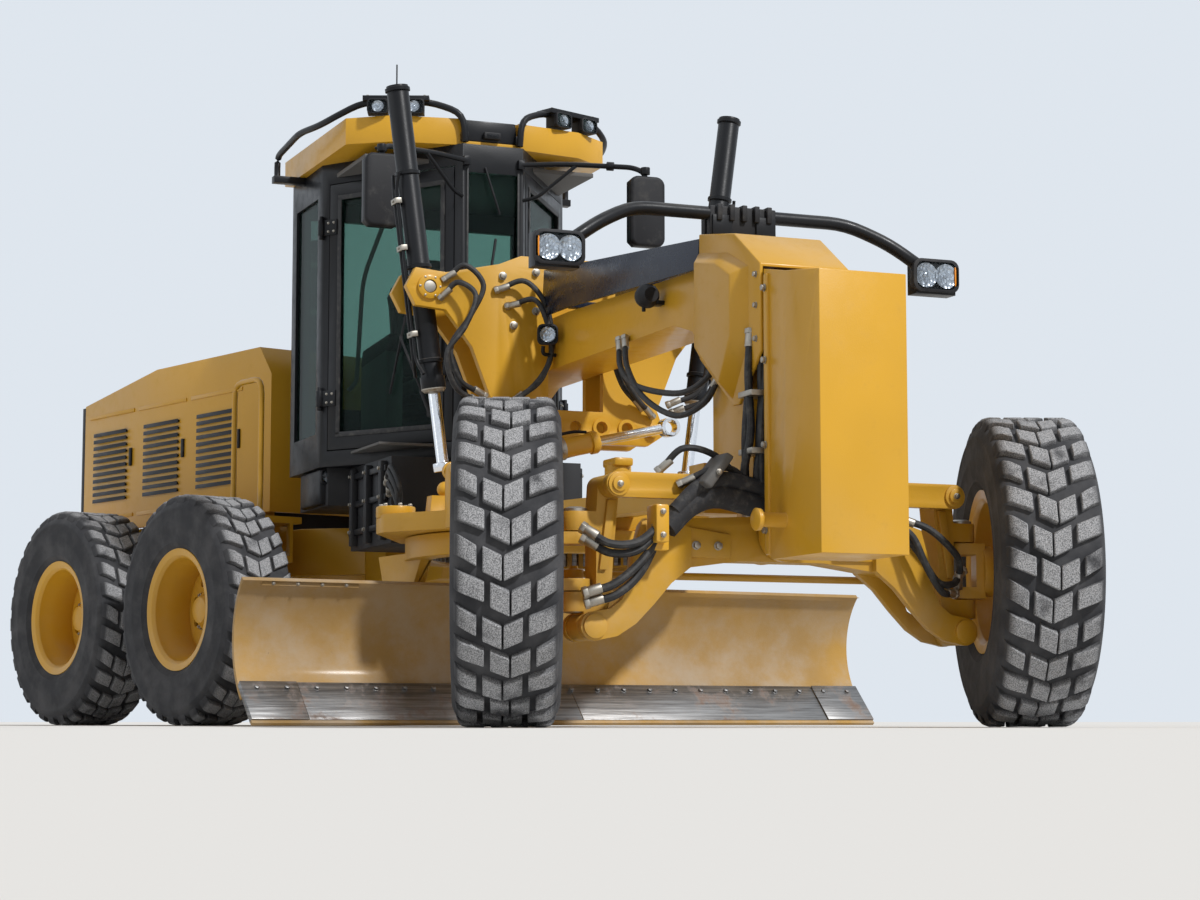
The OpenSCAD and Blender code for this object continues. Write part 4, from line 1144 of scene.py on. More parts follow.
class GRADER_OT_cab(bpy.types.Operator):
    """Door seals, handles, wipers, trim, the seat and what stands behind the glass"""

    bl_idname = "grader.cab"
    bl_label = "Cab"

    def execute(self, context):
        for side, sign in SIDES:
            piece = Piece(f"door_trim_{side}", f"door_{side}", sided(FRONT, sign))
            seal = window_seal((0.135, SILL + 0.09), (DOOR_RUN - 0.135, DOOR_TOP - 0.085), 0.016, 0.012,
                               0.001)
            piece.add("hose", seal, place=DOOR)
            piece.add("black", block((0.80, 0.0, SILL + 0.34), (0.935, 0.012, SILL + 0.46), 0.004),
                      bar([(0.915, 0.006, SILL + 0.36), (0.915, 0.045, SILL + 0.38),
                           (0.915, 0.045, SILL + 0.62),
                           (0.915, 0.006, SILL + 0.64)], 0.009, 0.03), place=DOOR)
            # grab bar and latch rod inside the glass
            piece.add("trim", bar([(0.16, -0.06, SILL + 0.35), (0.20, -0.085, SILL + 0.4),
                                   (0.24, -0.085, SILL + 1.0),
                                   (0.40, -0.06, SILL + 1.28)], 0.013, 0.1), place=DOOR)
            piece.add("plastic", wiper((0.83, 0.03, SILL + 0.16), (0.60, 0.02, SILL + 0.62),
                                       (0.52, 0.006, SILL + 0.30),
                                       (0.69, 0.006, SILL + 0.98)), place=DOOR)
            piece.bolt([(x, 0.014, z + dz) for x in (0.06, 0.1) for z in (SILL + 0.26, DOOR_TOP - 0.3)
                        for dz in (0.02, 0.07)], (0, 1, 0), 0.012, place=DOOR)
            piece.done()
        piece = Piece("windshield_trim", "front_frame", FRONT)
        for y in (-0.158, 0.145):
            piece.add("hose", block((-3.553, y, SILL + 0.33), (-3.544, y + 0.013, DOOR_TOP - 0.02), 0.003))
        piece.add("hose", block((-3.553, -0.158, SILL + 0.32), (-3.544, 0.158, SILL + 0.335), 0.003))
        piece.add("plastic", block((-3.566, -0.155, SILL + 0.26), (-3.535, 0.155, SILL + 0.325), 0.008))
        blade_low, blade_high = Vector((-3.556, -0.09, 2.02)), Vector((-3.556, 0.02, 2.72))
        piece.add("plastic", rod((-3.54, 0.06, 1.87), (-3.545, -0.03, 2.38), 0.007, 12),
                  rod(blade_low, blade_high, 0.008, 8),
                  rod((-3.55, 0.06, 1.87), (-3.52, 0.06, 1.87), 0.02, 20))
        # a second wiper hangs from the roof's edge
        piece.add("plastic", rod((-3.54, -0.05, 3.12), (-3.545, 0.04, 2.86), 0.006, 12))
        piece.done()
        piece = Piece("cab_inside", "front_frame", FRONT)
        piece.add("trim", block((-5.0, -0.69, 3.165), (-3.75, 0.69, 3.19), 0.004),
                  block((-4.30, -0.62, 1.545), (-3.66, 0.62, 1.56), 0.003))
        for sign in (-1, 1):
            pod = plate([(-4.66, 2.10), (-4.14, 2.14), (-4.08, 2.20), (-4.10, 2.24), (-4.62, 2.21)],
                        sign * 0.38 - 0.055, sign * 0.38 + 0.055, "Y", 0.02, 4)
            lever = bar([(-4.16, sign * 0.38, 2.22), (-4.13, sign * 0.38, 2.31),
                         (-4.15, sign * 0.375, 2.40)], 0.014, 0.05)
            grip = turned([(0, -0.062), (0.024, -0.055), (0.03, 0), (0.036, 0.045), (0.03, 0.068),
                           (0, 0.074)],
                          24, along="Z")
            moved(grip, at(-4.15, sign * 0.375, 2.44) @ spun(-0.15, "Y"))
            piece.add("plastic", pod, lever, grip)
        piece.add("plastic", block((-3.93, -0.14, 2.16), (-3.86, 0.14, 2.30), 0.014),
                  block((-3.80, 0.36, 2.02), (-3.77, 0.56, 2.24), 0.01),
                  rod((-3.80, 0.46, 2.03), (-3.80, 0.46, 1.60), 0.018))
        piece.add("lens", block((-3.935, -0.12, 2.175), (-3.931, 0.12, 2.285), 0.002))
        # foot pedals
        for y in (-0.22, 0.0, 0.22):
            piece.add("zinc", block((-3.86, y - 0.04, 1.62), (-3.835, y + 0.04, 1.74), 0.006))
        piece.done()
        seat_pad("seat_cushion", (-4.735, -0.232, 1.925), (-4.265, 0.232, 2.012), 0.018, 0.0,
                 ((1, -0.15), (1, 0.15)))
        seat_pad("seat_backrest", (-4.835, -0.222, 2.06), (-4.745, 0.222, 2.62), 0.018, -0.195,
                 ((1, -0.14), (1, 0.14)))
        seat_pad("seat_headrest", (-4.842, -0.118, 2.675), (-4.772, 0.118, 2.815), 0.012, -0.1, ())
        piece = Piece("seat_base", "front_frame", FRONT)
        folds = [(0.205 if k % 2 else 0.225, 1.62 + 0.025 * k) for k in range(11)]
        bellows = turned([(0.0, 1.60), *folds, (0.0, 1.88)], 40, along="Z")
        piece.add("hose", bellows, place=at(-4.50, 0, 0))
        piece.add("plastic", block((-4.74, -0.25, 1.88), (-4.26, 0.25, 1.915), 0.012),
                  block((-4.72, -0.24, 1.545), (-4.28, 0.24, 1.61), 0.01),
                  plate([(-4.77, 1.93), (-4.83, 2.10), (-4.86, 2.10), (-4.80, 1.90)], -0.2, 0.2, "Y", 0.01),
                  *[rod((-4.81, y, 2.60), (-4.812, y, 2.70), 0.008, 12) for y in (-0.06, 0.06)])
        piece.done(("seat",))
        return {"FINISHED"}


# Machinery

LIFT_TOP = Vector((-2.40, 0.79, 2.19))
LIFT_FOOT = Vector((-2.40, 0.66, 1.22))
LIFT_TILT = math.atan2(LIFT_TOP.y - LIFT_FOOT.y, LIFT_TOP.z - LIFT_FOOT.z)
LIFT = Matrix.Translation(LIFT_TOP) @ spun(-LIFT_TILT, "X")
KINGPIN_Y = 0.903


class GRADER_OT_cylinders(bpy.types.Operator):
    """Glands, pipes, clamps and ports of the lift and side-swing cylinders"""

    bl_idname = "grader.cylinders"
    bl_label = "Cylinders"

    def execute(self, context):
        for side, sign in SIDES:
            piece = Piece(f"lift_pipes_{side}", f"lift_barrel_{side}", sided(FRONT, sign))
            for across in (-0.022, 0.022):
                line = bar([(across * 3, 0.066, -0.43), (across, 0.082, -0.36), (across, 0.078, 0.52),
                            (across * 2.2, 0.062, 0.60)], 0.0085, 0.04)
                piece.add("black", line, place=LIFT)
            for z in (-0.22, 0.22, 0.46):
                piece.add("zinc", block((-0.04, 0.06, z - 0.014), (0.04, 0.094, z + 0.014), 0.003),
                          bolts([(0, 0.094, z)], (0, 1, 0), 0.012), place=LIFT)
            ring = [(0.056, -0.012), (0.064, -0.008), (0.064, 0.008), (0.056, 0.012)]
            for z in (-0.36, 0.12, 0.60, 1.03):
                piece.add("black", turned(ring, 48, closed=True, along="Z"),
                          place=LIFT @ at(0, 0, z))
            gland = turned([(0.032, -0.518), (0.05, -0.518), (0.062, -0.506), (0.062, -0.498),
                            (0.032, -0.498)], 40,
                           closed=True, along="Z")
            piece.add("zinc", gland, place=LIFT)
            piece.bolt(around(8, 0.05, lambda u, v: (u, v, -0.512)), (0, 0, -1), 0.010, place=LIFT)
            for x in (-0.150, 0.106):
                piece.add("zinc", turned([(0, x - 0.004), (0.026, x - 0.004), (0.03, x), (0.03, x + 0.03),
                                          (0, x + 0.036)],
                                         32, along="X"), place=LIFT)
            piece.done()
            piece = Piece(f"yoke_cap_{side}", "front_frame", sided(FRONT, sign))
            for x in (-2.565, -2.28):
                out = -1 if x < -2.4 else 1
                cap = turned([(0.034, 0), (0.062, 0), (0.062, 0.016), (0.05, 0.022), (0.034, 0.022)], 40,
                             closed=True, along="X")
                moved(cap, Matrix.Diagonal((out, 1, 1, 1)))
                piece.add("casting", cap, place=at(x, 0.79, 2.19))
                piece.bolt(around(6, 0.052, lambda u, v: (x + out * 0.018, 0.79 + u, 2.19 + v)),
                           (out, 0, 0), 0.011)
            piece.done()
        piece = Piece("shift_fittings", "shift_barrel", FRONT)
        start, end = Vector((-2.06, -0.72, 1.25)), Vector((-2.06, 0.42, 1.51))
        along = (end - start).normalized()
        up = Vector((1, 0, 0)).cross(along)
        piece.add("black", bar([start + along * 0.10 + up * 0.058, start + along * 0.14 + up * 0.075,
                                start + along * 0.66 + up * 0.072, start + along * 0.72 + up * 0.057],
                                0.008, 0.03))
        piece.add("zinc", clamp(start + along * 0.3, along, 0.051),
                  clamp(start + along * 0.56, along, 0.051))
        gland = turned([(0.0265, 0), (0.058, 0), (0.058, 0.03), (0.05, 0.042), (0.0265, 0.042)], 40,
                       closed=True,
                       along="Z")
        piece.add("casting", moved(gland, aim(start + along * 0.727, end)))
        piece.done()
        return {"FINISHED"}


class GRADER_OT_hoses(bpy.types.Operator):
    """Hydraulic hoses with their fittings, sleeve, straps and clamps"""

    bl_idname = "grader.hoses"
    bl_label = "Hoses"

    def execute(self, context):
        radius = sizes().hose_radius
        piece = Piece("axle_hoses", "front_axle", FRONT)
        sleeve = [(0.235, -0.10, 0.885), (0.225, -0.25, 0.925), (0.22, -0.38, 0.945), (0.218, -0.49, 0.905),
                  (0.215, -0.59, 0.81)]
        piece.add("sleeve", hose(sleeve, 0.052, 9, 4))
        piece.add("sleeve", hose([Vector(p) + Vector((0.02, 0.03, 0.065)) for p in sleeve], 0.034, 9, 4))
        # grey strap over the bundle and the yellow clamp that it hangs in
        piece.add("trim", plate([(-0.47, 0.99), (-0.36, 1.12), (-0.325, 1.10), (-0.43, 0.965)], 0.165,
                                0.315, "X", 0.012, 3))
        piece.add("yellow", block((0.17, -0.66, 0.745), (0.275, -0.60, 0.90), 0.010),
                  block((0.17, -0.70, 0.715), (0.225, -0.58, 0.765), 0.008))
        piece.add("zinc", bolts([(0.277, -0.63, z) for z in (0.775, 0.87)], (1, 0, 0), 0.02),
                  bolts([(0.318, -0.40, 1.035)], (1, 0, 0), 0.02))
        lower = (((0.215, -0.60, 0.82), (0.23, -0.72, 0.715), (0.225, -0.84, 0.70), (0.19, -0.925, 0.75)),
                 ((0.205, -0.60, 0.80), (0.215, -0.70, 0.67), (0.215, -0.82, 0.575), (0.19, -0.915, 0.545)),
                 ((0.225, -0.61, 0.83), (0.255, -0.73, 0.745), (0.25, -0.85, 0.735), (0.20, -0.93, 0.79)),
                 ((0.20, -0.61, 0.79), (0.19, -0.69, 0.63), (0.20, -0.80, 0.535), (0.17, -0.90, 0.505)))
        for path in lower:
            fitted(piece, path, radius * 1.25)
        upper = (((0.225, -0.20, 0.93), (0.2, -0.34, 1.10), (0.2, -0.50, 1.14), (0.15, -0.58, 1.06)),
                 ((0.225, -0.16, 0.92), (0.22, -0.28, 1.05), (0.24, -0.40, 1.05), (0.19, -0.50, 1.0)))
        for path in upper:
            fitted(piece, path, radius)
        left = (((0.16, 0.50, 0.86), (0.20, 0.56, 0.80), (0.21, 0.62, 0.67), (0.19, 0.70, 0.575),
                 (0.14, 0.78, 0.57)),
                ((0.15, 0.52, 0.84), (0.17, 0.60, 0.74), (0.18, 0.68, 0.62), (0.16, 0.77, 0.61),
                 (0.11, 0.84, 0.66)),
                ((0.15, 0.54, 0.88), (0.19, 0.64, 0.84), (0.20, 0.74, 0.76), (0.17, 0.80, 0.70),
                 (0.12, 0.82, 0.62)))
        for path in left:
            fitted(piece, path, radius * 1.1)
        piece.done()
        piece = Piece("beam_hoses", "front_frame", FRONT)
        runs = (((-1.21, -0.175, 1.80), (-1.10, -0.21, 1.66), (-0.88, -0.22, 1.49), (-0.54, -0.21, 1.37),
                 (-0.28, -0.19, 1.40), (-0.20, -0.16, 1.50)),
                ((-1.28, -0.175, 1.80), (-1.20, -0.20, 1.67), (-0.98, -0.21, 1.555), (-0.54, -0.20, 1.47),
                 (-0.30, -0.18, 1.50), (-0.22, -0.155, 1.58)))
        for path in runs:
            fitted(piece, path, radius)
        # the bundle that comes down behind the weight
        for k, (y, low) in enumerate(((-0.13, 0.96), (-0.155, 0.92), (-0.18, 0.95), (-0.205, 0.90),
                                      (-0.225, 0.97),
                                      (-0.165, 0.88), (-0.215, 0.93), (-0.14, 0.90))):
            x = 0.20 + 0.028 * (k % 3) + 0.014 * (k > 4)
            fitted(piece, [(x - 0.02, y + 0.02, 1.62), (x, y, 1.45), (x + 0.02, y - 0.03 * (k % 2), 1.22),
                           (x, y - 0.02, 1.06), (x - 0.03, y, low)], radius * 1.15)
        piece.add("zinc", block((0.17, -0.245, 1.36), (0.30, -0.11, 1.385), 0.004),
                  block((0.17, -0.245, 1.12), (0.30, -0.11, 1.145), 0.004))
        # valve block between the saddle's arms and its hoses
        piece.add("plastic", block((-2.50, -0.30, 1.68), (-2.34, -0.16, 1.98), 0.01))
        for k in range(6):
            z = 1.70 + 0.045 * k
            piece.add("zinc", block((-2.34, -0.285, z), (-2.325, -0.175, z + 0.03), 0.004))
        loops = (((-2.262, -0.70, 2.24), (-2.22, -0.62, 2.30), (-2.20, -0.53, 2.20), (-2.20, -0.60, 2.04),
                  (-2.20, -0.70, 1.88), (-2.21, -0.65, 1.72), (-2.25, -0.52, 1.66)),
                 ((-2.262, -0.72, 2.15), (-2.21, -0.66, 2.21), (-2.17, -0.58, 2.14), (-2.16, -0.64, 1.98),
                  (-2.17, -0.73, 1.84), (-2.19, -0.68, 1.68), (-2.25, -0.54, 1.62)),
                 ((-2.262, -0.42, 2.20), (-2.22, -0.30, 2.24), (-2.19, -0.20, 2.12), (-2.19, -0.165, 1.92),
                  (-2.20, -0.22, 1.74), (-2.25, -0.34, 1.64)),
                 ((-2.262, -0.36, 2.12), (-2.18, -0.26, 2.14), (-2.15, -0.20, 2.0), (-2.15, -0.19, 1.84),
                  (-2.18, -0.27, 1.70), (-2.25, -0.40, 1.60)))
        for path in loops:
            fitted(piece, path, radius)
            fitted(piece, [(x, -y, z) for x, y, z in path], radius)
        piece.done()
        piece = Piece("cab_base_fittings", "front_frame", FRONT)
        for k in range(4):
            y = -0.585 - 0.012 * (k % 2)
            fitted(piece, [(-3.60 + 0.02 * k, y, 1.36 - 0.03 * k), (-3.45, y - 0.03, 1.40 - 0.03 * k),
                           (-3.33, y - 0.02, 1.28 - 0.03 * k), (-3.40, y, 1.16 - 0.02 * k),
                           (-3.62, y, 1.12 - 0.02 * k)], radius)
        posts = (-4.30, -4.02, -3.74)
        for x in posts:
            for sign in (-1, 1):
                low, high = span(sign, 0.561, 0.60)
                piece.add("grey", block((x, low, 1.02), (x + 0.05, high, 1.46), 0.006))
        for z in (1.08, 1.24, 1.40):
            for sign in (-1, 1):
                low, high = span(sign, 0.561, 0.585)
                piece.add("black", block((-4.36, low, z), (-3.66, high, z + 0.035), 0.005))
                piece.bolt([(x + 0.025, sign * 0.60, z + 0.018) for x in posts],
                           (0, sign, 0), 0.02)
        # battery box with a step and its lamp
        piece.add("black", block((-4.86, -0.735, 1.27), (-4.44, -0.60, 1.475), 0.014))
        lamp(piece, at(-4.42, -0.69, 1.43), 0.09, 0.09, 0.05)
        piece.done()
        return {"FINISHED"}


SADDLE_BOLTS = ((0.22, 2.10), (0.34, 2.02), (0.22, 2.30), (0.40, 2.27))


class GRADER_OT_front(bpy.types.Operator):
    """Facets, slots, pins and bolts of the nose, the weight, the beam and the axle"""

    bl_idname = "grader.front"
    bl_label = "Front"

    def execute(self, context):
        piece = Piece("nose_facets", "front_frame", FRONT)
        slope = plate([(-0.30, 1.60), (-0.30, 2.06), (0.0, 2.01), (0.20, 1.92), (0.20, 1.60), (0.04, 1.37)],
                      0.205, 0.262,
                      "Y", 0.0)
        for vertex in slope.data.vertices:
            if vertex.co.y > 0.24:
                vertex.co.x = -0.06 + (vertex.co.x + 0.06) * 0.72
                vertex.co.z = 1.76 + (vertex.co.z - 1.76) * 0.80
        rounded(slope, 0.006)
        other = slope.copy()
        other.data = slope.data.copy()
        bpy.context.collection.objects.link(other)
        piece.add("yellow", slope, moved(other, MIRROR_Y))
        for sign in (-1, 1):
            piece.bolt([(0.27, sign * 0.206, z) for z in (1.60, 1.74, 1.87)], (0, sign, 0), 0.022)
        piece.done()
        piece = Piece("weight_fittings", "front_frame", FRONT)
        for y in (-0.305, 0.305):
            out = math.copysign(1, y)
            cap = turned([(0, 0), (0.046, 0), (0.046, 0.006), (0.03, 0.016), (0, 0.016)], 32)
            piece.add("yellow", moved(cap, at(0.50, y + out * 0.014, 0.83)
                                      @ Matrix.Diagonal((1, out, 1, 1))))
        piece.add("yellow", block((0.33, -0.205, 0.70), (0.37, 0.205, 1.86), 0.008))
        piece.add("zinc", bolts([(0.35, y, z) for y in (-0.206,) for z in (0.8, 1.15, 1.5, 1.8)],
                                (0, -1, 0), 0.026),
                  bolts([(0.35, y, z) for y in (0.206,) for z in (0.8, 1.15, 1.5, 1.8)], (0, 1, 0), 0.026))
        piece.done()
        piece = Piece("beam_fittings", "front_frame", FRONT)
        for x in (-0.36, -0.30):
            piece.add("plastic", block((x - 0.02, -0.16, 2.13), (x + 0.02, 0.16, 2.272), 0.006))
        for y in (-0.12, -0.06, 0.0, 0.06, 0.12):
            piece.add("plastic", block((-0.36, y - 0.012, 2.205), (-0.26, y + 0.012, 2.278), 0.004))
        piece.bolt([(x, y, 2.396) for x in (-2.64, -3.14) for y in (-0.2, 0.2)], (0, 0, 1), 0.02)
        for sign in (-1, 1):
            for x, out in ((-2.279, 1), (-2.566, -1)):
                holes = [(x, sign * y, z) for y, z in SADDLE_BOLTS]
                piece.bolt(holes, (out, 0, 0), 0.034)
            for y in (0.14, 0.28):
                ring = turned([(0.031, 0), (0.048, 0), (0.048, 0.012), (0.031, 0.012)], 32, closed=True,
                              along="X")
                piece.add("casting", ring, place=at(-2.281, sign * y, 1.52))
            # weld-on lugs under the beam's curve
            low, high = span(sign, 0.149, 0.17)
            piece.add("casting", plate([(-3.2, 1.86), (-3.05, 1.78), (-2.86, 1.86), (-2.9, 1.96),
                                        (-3.15, 1.96)], low, high,
                                       "Y", 0.006))
            piece.bolt([(-3.1, sign * 0.17, 1.9), (-2.95, sign * 0.17, 1.9)], (0, sign, 0), 0.03)
        piece.done()
        piece = Piece("axle_fittings", "front_axle", FRONT)
        for sign in (-1, 1):
            for x, out in ((0.108, 1), (-0.108, -1)):
                cap = turned([(0.0, 0), (0.05, 0), (0.05, 0.012), (0.03, 0.02), (0.0, 0.02)], 40, along="X")
                moved(cap, Matrix.Diagonal((out, 1, 1, 1)))
                piece.add("casting", cap, place=at(x, sign * 0.86, 0.41))
            low, high = span(sign, 0.24, 0.46)
            piece.add("casting", plate([(low, 0.70), (high, 0.70), (high, 0.80), (low, 0.83)], 0.069, 0.086,
                                       "X", 0.008))
            piece.bolt([(0.087, sign * 0.30, 0.75), (0.087, sign * 0.40, 0.75)], (1, 0, 0), 0.03)
        piece.done()
        piece = Piece("lean_bar_pins", "lean_bar", FRONT)
        for sign in (-1, 1):
            for radius, depth in ((0.047, 0.010), (0.031, 0.020)):
                piece.add("casting", rod((0.168, sign * 0.78, 0.985), (0.168 + depth, sign * 0.78, 0.985),
                                         radius, 40))
            piece.bolt([(0.188, sign * 0.78, 0.985)], (1, 0, 0), 0.022)
        piece.done()
        for side, sign in SIDES:
            piece = Piece(f"fork_fittings_{side}", f"fork_{side}", sided(FRONT, sign))
            for z, out, thick in ((0.88, 1, 0.02), (0.47, -1, 0.006)):
                cap = turned([(0, 0), (0.05, 0), (0.05, thick * 0.6), (0.03, thick), (0, thick)], 32,
                             along="Z")
                moved(cap, at(0, KINGPIN_Y, z) @ Matrix.Diagonal((1, 1, out, 1)))
                piece.add("zinc", cap)
            rib = plate([(0.793, 0.64), (0.827, 0.64), (0.79, 0.93), (0.75, 0.93)], 0.061, 0.078, "X",
                        0.006)
            piece.add("casting", rib)
            piece.done()
        return {"FINISHED"}


class GRADER_OT_blade(bpy.types.Operator):
    """Cutting edges, end bits, bolts and strips of the blade, teeth of the circle, drawbar plates"""

    bl_idname = "grader.blade"
    bl_label = "Blade"

    def execute(self, context):
        length, shift = 3.66, 0.163  # of the moldboard, and how far it stands to the left
        low, high = shift - length / 2, shift + length / 2
        foot = Vector((-0.107, 0, 0.145))
        down = Vector((0.69, 0, -0.72)).normalized()
        over = Vector((0.72, 0, 0.69)).normalized()
        piece = Piece("blade_edges", "moldboard", BLADE)
        # two long edges and an end bit at each side, a little proud of the face
        spans = ((low, low + 0.30, 0.034), (low + 0.304, shift - 0.002, 0.028),
                 (shift + 0.002, high - 0.304, 0.028),
                 (high - 0.30, high, 0.034))
        for left, right, thick in spans:
            corners = [foot - down * 0.072 + over * 0.004, foot + down * 0.179 + over * 0.0,
                       foot + down * 0.179 + over * thick, foot - down * 0.072 + over * (thick + 0.004)]
            piece.add("steel", plate([(p.x, p.z) for p in corners], left, right, "Y", 0.002))
        count = 23
        heads = [foot - down * 0.03 + over * 0.030
                 + Vector((0, low + 0.08 + (length - 0.16) * k / (count - 1), 0))
                 for k in range(count)]
        piece.add("steel", bolts(heads, over, 0.026))
        piece.done()
        piece = Piece("blade_strips", "moldboard", BLADE)
        piece.add("blade", block((-0.135, low, 0.712), (-0.085, high, 0.7148), 0.001),
                  block((-0.130, low + 0.10, 0.690), (-0.102, low + 0.62, 0.7145), 0.005))
        piece.bolt([(-0.102, low + 0.16 + 0.13 * k, 0.702) for k in range(4)], (1, 0, 0), 0.016)
        piece.done()
        piece = Piece("circle_teeth", "circle", BLADE)
        inner = 0.765 - 0.13
        tooth = plate([(-0.012, inner - 0.022), (0.012, inner - 0.022), (0.02, inner + 0.004),
                       (-0.02, inner + 0.004)],
                      0.862, 0.945, "Z", 0.002, 1)
        piece.add("steel", copies(tooth, [spun(math.tau * k / 64, "Z") for k in range(64)]))
        piece.add("zinc", bolts([(-0.40, s * 0.674, 0.28) for s in (1,)], (0, 1, 0), 0.05),
                  bolts([(-0.40, -0.674, 0.28)], (0, -1, 0), 0.05))
        piece.done()
        piece = Piece("drawbar_fittings", "drawbar", FRONT)
        for sign in (-1, 1):
            piece.add("casting", rod((-2.58, sign * 0.86, 1.045), (-2.58, sign * 0.86, 1.105), 0.10, 48,
                                     0.008),
                      rod((-3.08, sign * 0.50, 1.045), (-3.08, sign * 0.50, 1.09), 0.08, 48, 0.008))
            piece.bolt(around(6, 0.075, lambda u, v: (-2.58 + u, sign * 0.86 + v, 1.105)), (0, 0, 1), 0.022)
            for x in (-1.95, -2.30):
                piece.bolt([(x, sign * 0.50, 1.051)], (0, 0, 1), 0.03)
        motor = joined([rod((-1.72, 0, 1.055), (-1.72, 0, 1.16), 0.11, 40, 0.008),
                        rod((-1.72, 0, 1.16), (-1.72, 0, 1.27), 0.065, 32, 0.008),
                        block((-1.80, -0.05, 1.26), (-1.64, 0.05, 1.30), 0.01)])
        piece.add("casting", motor, block((-1.92, -0.16, 1.03), (-1.58, 0.16, 1.06), 0.006))
        piece.done()
        return {"FINISHED"}


TANDEM_FACE = 0.80  # outer wall of a tandem case, from the machine's middle


class GRADER_OT_rear(bpy.types.Operator):
    """Louvres, latches and grilles of the hood, stack, walkways, tandem covers and tank"""

    bl_idname = "grader.rear"
    bl_label = "Rear"

    def execute(self, context):
        piece = Piece("hood_fittings", "rear_frame", REAR)
        for sign in (-1, 1):
            for left in (-7.85, -7.15, -6.45):
                for k in range(11):
                    z = 1.50 + k * 0.045
                    low, high = span(sign, 0.519, 0.534)
                    fin = plate([(low, z), (high if sign > 0 else low, z), (high, z + 0.006),
                                 (high, z + 0.012),
                                 (low, z + 0.026)], left, left + 0.46, "X", 0.002)
                    piece.add("black", fin)
                low, high = span(sign, 0.519, 0.526)
                piece.add("yellow", block((left - 0.09, low, 1.38), (left + 0.55, high, 1.405), 0.003),
                          block((left - 0.09, low, 2.08), (left + 0.55, high, 2.105), 0.003))
                piece.add("plastic", block((left + 0.50, low - 0.008 * (sign < 0), 1.72),
                                           (left + 0.53, high + 0.008 * (sign > 0), 1.84), 0.006))
        piece.add("black", block((-6.95, -0.30, 2.327), (-6.55, 0.16, 2.345), 0.006))
        for k in range(9):
            piece.add("black", block((-6.93 + k * 0.042, -0.28, 2.343), (-6.91 + k * 0.042, 0.14, 2.356),
                                     0.003))
        cap = turned([(0, 0), (0.07, 0), (0.07, 0.03), (0.055, 0.045), (0, 0.048)], 40, along="Z")
        piece.add("black", cap, place=at(-7.6, -0.30, 2.245))
        piece.done()
        piece = Piece("stack_fittings", "rear_frame", REAR)
        centre = Vector((-6.35, 0.30, 0))
        for z in (2.42, 2.70, 3.02):
            ring = turned([(0.064, -0.02), (0.072, -0.016), (0.072, 0.016), (0.064, 0.02)], 40, closed=True,
                          along="Z")
            piece.add("zinc", ring, place=Matrix.Translation(centre + Vector((0, 0, z))))
        outlet = turned([(0.058, 3.10), (0.066, 3.10), (0.066, 3.183), (0.058, 3.183)], 40, closed=True,
                        along="Z")
        piece.add("black", outlet, place=Matrix.Translation(centre))
        piece.done()
        piece = Piece("walkway_grating", "rear_frame", REAR)
        for sign in (-1, 1):
            for k in range(37):
                x = -7.86 + k * 0.07
                low, high = span(sign, 0.545, 0.805)
                piece.add("black", block((x, low, 1.2395), (x + 0.012, high, 1.246), 0.002))
            piece.bolt([(x, sign * 0.56, 1.24) for x in (-5.9, -6.6, -7.3, -7.8)], (0, 0, 1), 0.02)
        piece.done()
        for side, sign in SIDES:
            name = f"tandem_{side}"
            place = REAR @ at(-6.12, 0, 0)
            piece = Piece(f"{name}_fittings", name, sided(place, sign))
            face = TANDEM_FACE
            for x in (-0.762, 0.762):
                piece.bolt(around(10, 0.115, lambda u, v: (x + u, face + 0.06, TYRE_R + v)), (0, 1, 0),
                           0.020)
            cover = plate([(-0.34, 0.50), (0.34, 0.50), (0.34, 0.86), (0.22, 0.90), (-0.22, 0.90),
                           (-0.34, 0.86)],
                          face - 0.002, face + 0.010, "Y", 0.006)
            piece.add("yellow", cover)
            edge = [(x, face + 0.010, z) for x in (-0.30, -0.1, 0.1, 0.30) for z in (0.54, 0.83)]
            piece.bolt(edge, (0, 1, 0), 0.022)
            top = plate([(-0.12, -0.06), (0.12, -0.06), (0.12, 0.06), (-0.12, 0.06)], 0.943, 0.955, "Z",
                        0.004)
            piece.add("yellow", moved(top, at(0, face - 0.10, 0)))
            piece.bolt([(x, face - 0.10 + y, 0.955) for x in (-0.09, 0.09) for y in (-0.035, 0.035)],
                       (0, 0, 1),
                       0.02)
            piece.done()
        piece = Piece("hitch_fittings", "rear_frame", REAR)
        hinge = HINGE.x - AXLE.x
        piece.bolt(around(6, 0.09, lambda u, v: (hinge + u, v, 1.25)), (0, 0, 1), 0.024)
        for sign in (-1, 1):
            fitted(piece, [(hinge - 0.50, sign * 0.20, 1.30), (hinge - 0.35, sign * 0.22, 1.36),
                           (hinge - 0.20, sign * 0.16, 1.33), (hinge - 0.16, sign * 0.13, 1.26)])
        piece.done()
        return {"FINISHED"}


# Stage

CAMERA = Vector((13.199, -4.634, 0.026))
CAMERA_YAW = math.radians(22.12)
CAMERA_PITCH = math.radians(6.16)


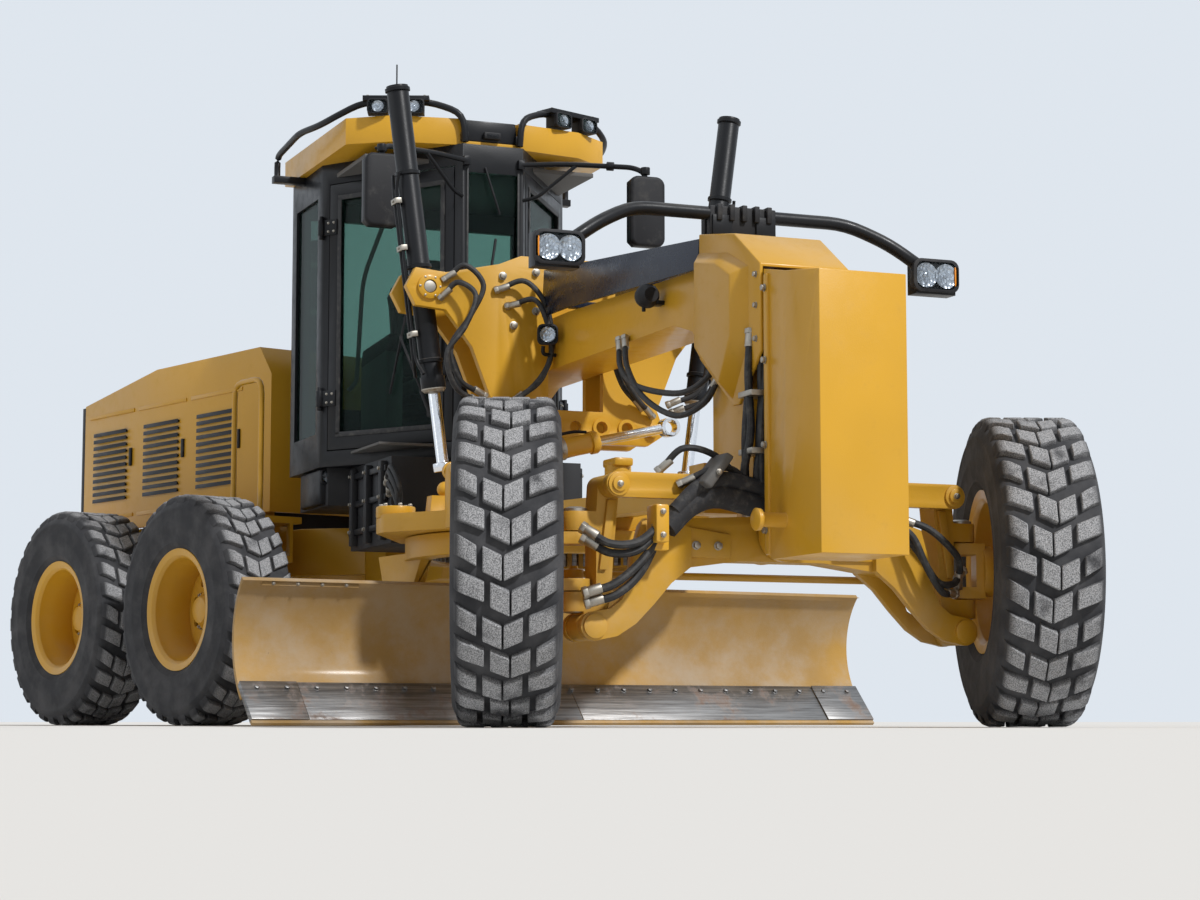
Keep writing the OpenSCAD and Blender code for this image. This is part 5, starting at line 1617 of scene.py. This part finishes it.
class GRADER_OT_stage(bpy.types.Operator):
    """Pale floor, sky-lit world, lamps and the camera at the photograph's place"""

    bl_idname = "grader.stage"
    bl_label = "Stage"

    def execute(self, context):
        scene = context.scene
        scene.view_settings.view_transform = "Standard"
        deselect()
        bpy.ops.mesh.primitive_plane_add(size=160, location=(0, 0, 0))
        floor = context.object
        floor.name = "floor"
        made, wire = material("floor_pale")
        shade = wire.node("ShaderNodeBsdfDiffuse", None, {"Color": (0.74, 0.74, 0.73, 1)})
        wire.node("ShaderNodeOutputMaterial", None, {0: shade})
        floor.data.materials.append(made)
        world = bpy.data.worlds.new("studio")
        scene.world = world
        world.use_nodes = True
        world.node_tree.nodes.clear()
        wire = Wire(world.node_tree)
        rays = wire.node("ShaderNodeLightPath")
        seen = Wire(wire.tree, rays.socket.node.outputs["Is Camera Ray"])
        glossy = Wire(wire.tree, rays.socket.node.outputs["Is Glossy Ray"])
        through = Wire(wire.tree, rays.socket.node.outputs["Is Transmission Ray"])
        light = wire.node("ShaderNodeBackground", None, {"Color": (1.0, 0.96, 0.92, 1), "Strength": 0.38})
        shown = wire.node("ShaderNodeBackground", None, {"Color": (0.80, 0.86, 0.93, 1), "Strength": 0.92})
        mixed = wire.node("ShaderNodeMixShader", None,
                          {0: wire.maths("MAXIMUM", wire.maths("MAXIMUM", seen, glossy), through), 1: light,
                           2: shown})
        wire.node("ShaderNodeOutputWorld", None, {0: mixed})
        for name, energy, spread, turn in (("key_sun", 3.0, 4.0, (math.radians(46), 0, math.radians(112))),
                                           ("fill_sun", 0.2, 40.0, (math.radians(62), 0,
                                                                    math.radians(-10)))):
            lamp = bpy.data.lights.new(name, "SUN")
            lamp.energy = energy
            lamp.angle = math.radians(spread)
            holder = bpy.data.objects.new(name, lamp)
            holder.rotation_euler = turn
            scene.collection.objects.link(holder)
        camera = bpy.data.cameras.new("camera")
        camera.lens = 75.44
        camera.sensor_width = 36
        camera.clip_end = 400
        holder = bpy.data.objects.new("camera", camera)
        forward = Vector((-math.cos(CAMERA_YAW) * math.cos(CAMERA_PITCH),
                          math.sin(CAMERA_YAW) * math.cos(CAMERA_PITCH), math.sin(CAMERA_PITCH)))
        facing = forward.to_track_quat("-Z", "Y").to_matrix().to_4x4()
        holder.matrix_world = Matrix.Translation(CAMERA) @ facing
        scene.collection.objects.link(holder)
        scene.camera = holder
        return {"FINISHED"}


OPERATORS = (GRADER_OT_stage, GRADER_OT_tyres, GRADER_OT_rims, GRADER_OT_plates, GRADER_OT_lights,
             GRADER_OT_cab,
             GRADER_OT_cylinders, GRADER_OT_hoses, GRADER_OT_front, GRADER_OT_blade, GRADER_OT_rear)


class GRADER_PT_panel(bpy.types.Panel):
    """Builds the machine's pieces one after another"""

    bl_label = "Grader"
    bl_space_type = "VIEW_3D"
    bl_region_type = "UI"
    bl_category = "Grader"

    def draw(self, context):
        column = self.layout.column()
        for group in (context.scene.grader_sizes, context.scene.grader_colours):
            for name in group.__annotations__:
                column.prop(group, name)
        for operator in OPERATORS:
            column.operator(operator.bl_idname)


CLASSES = (GraderSizes, GraderColours, *OPERATORS, GRADER_PT_panel)


def register():
    for cls in CLASSES:
        bpy.utils.register_class(cls)
    bpy.types.Scene.grader_sizes = PointerProperty(type=GraderSizes)
    bpy.types.Scene.grader_colours = PointerProperty(type=GraderColours)


def unregister():
    del bpy.types.Scene.grader_colours
    del bpy.types.Scene.grader_sizes
    for cls in reversed(CLASSES):
        bpy.utils.unregister_class(cls)


def main():
    register()
    for operator in OPERATORS:
        group, name = operator.bl_idname.split(".")
        if getattr(getattr(bpy.ops, group), name)() != {"FINISHED"}:
            raise RuntimeError(f"{operator.bl_label} did not finish")


if __name__ == "__main__":
    main()
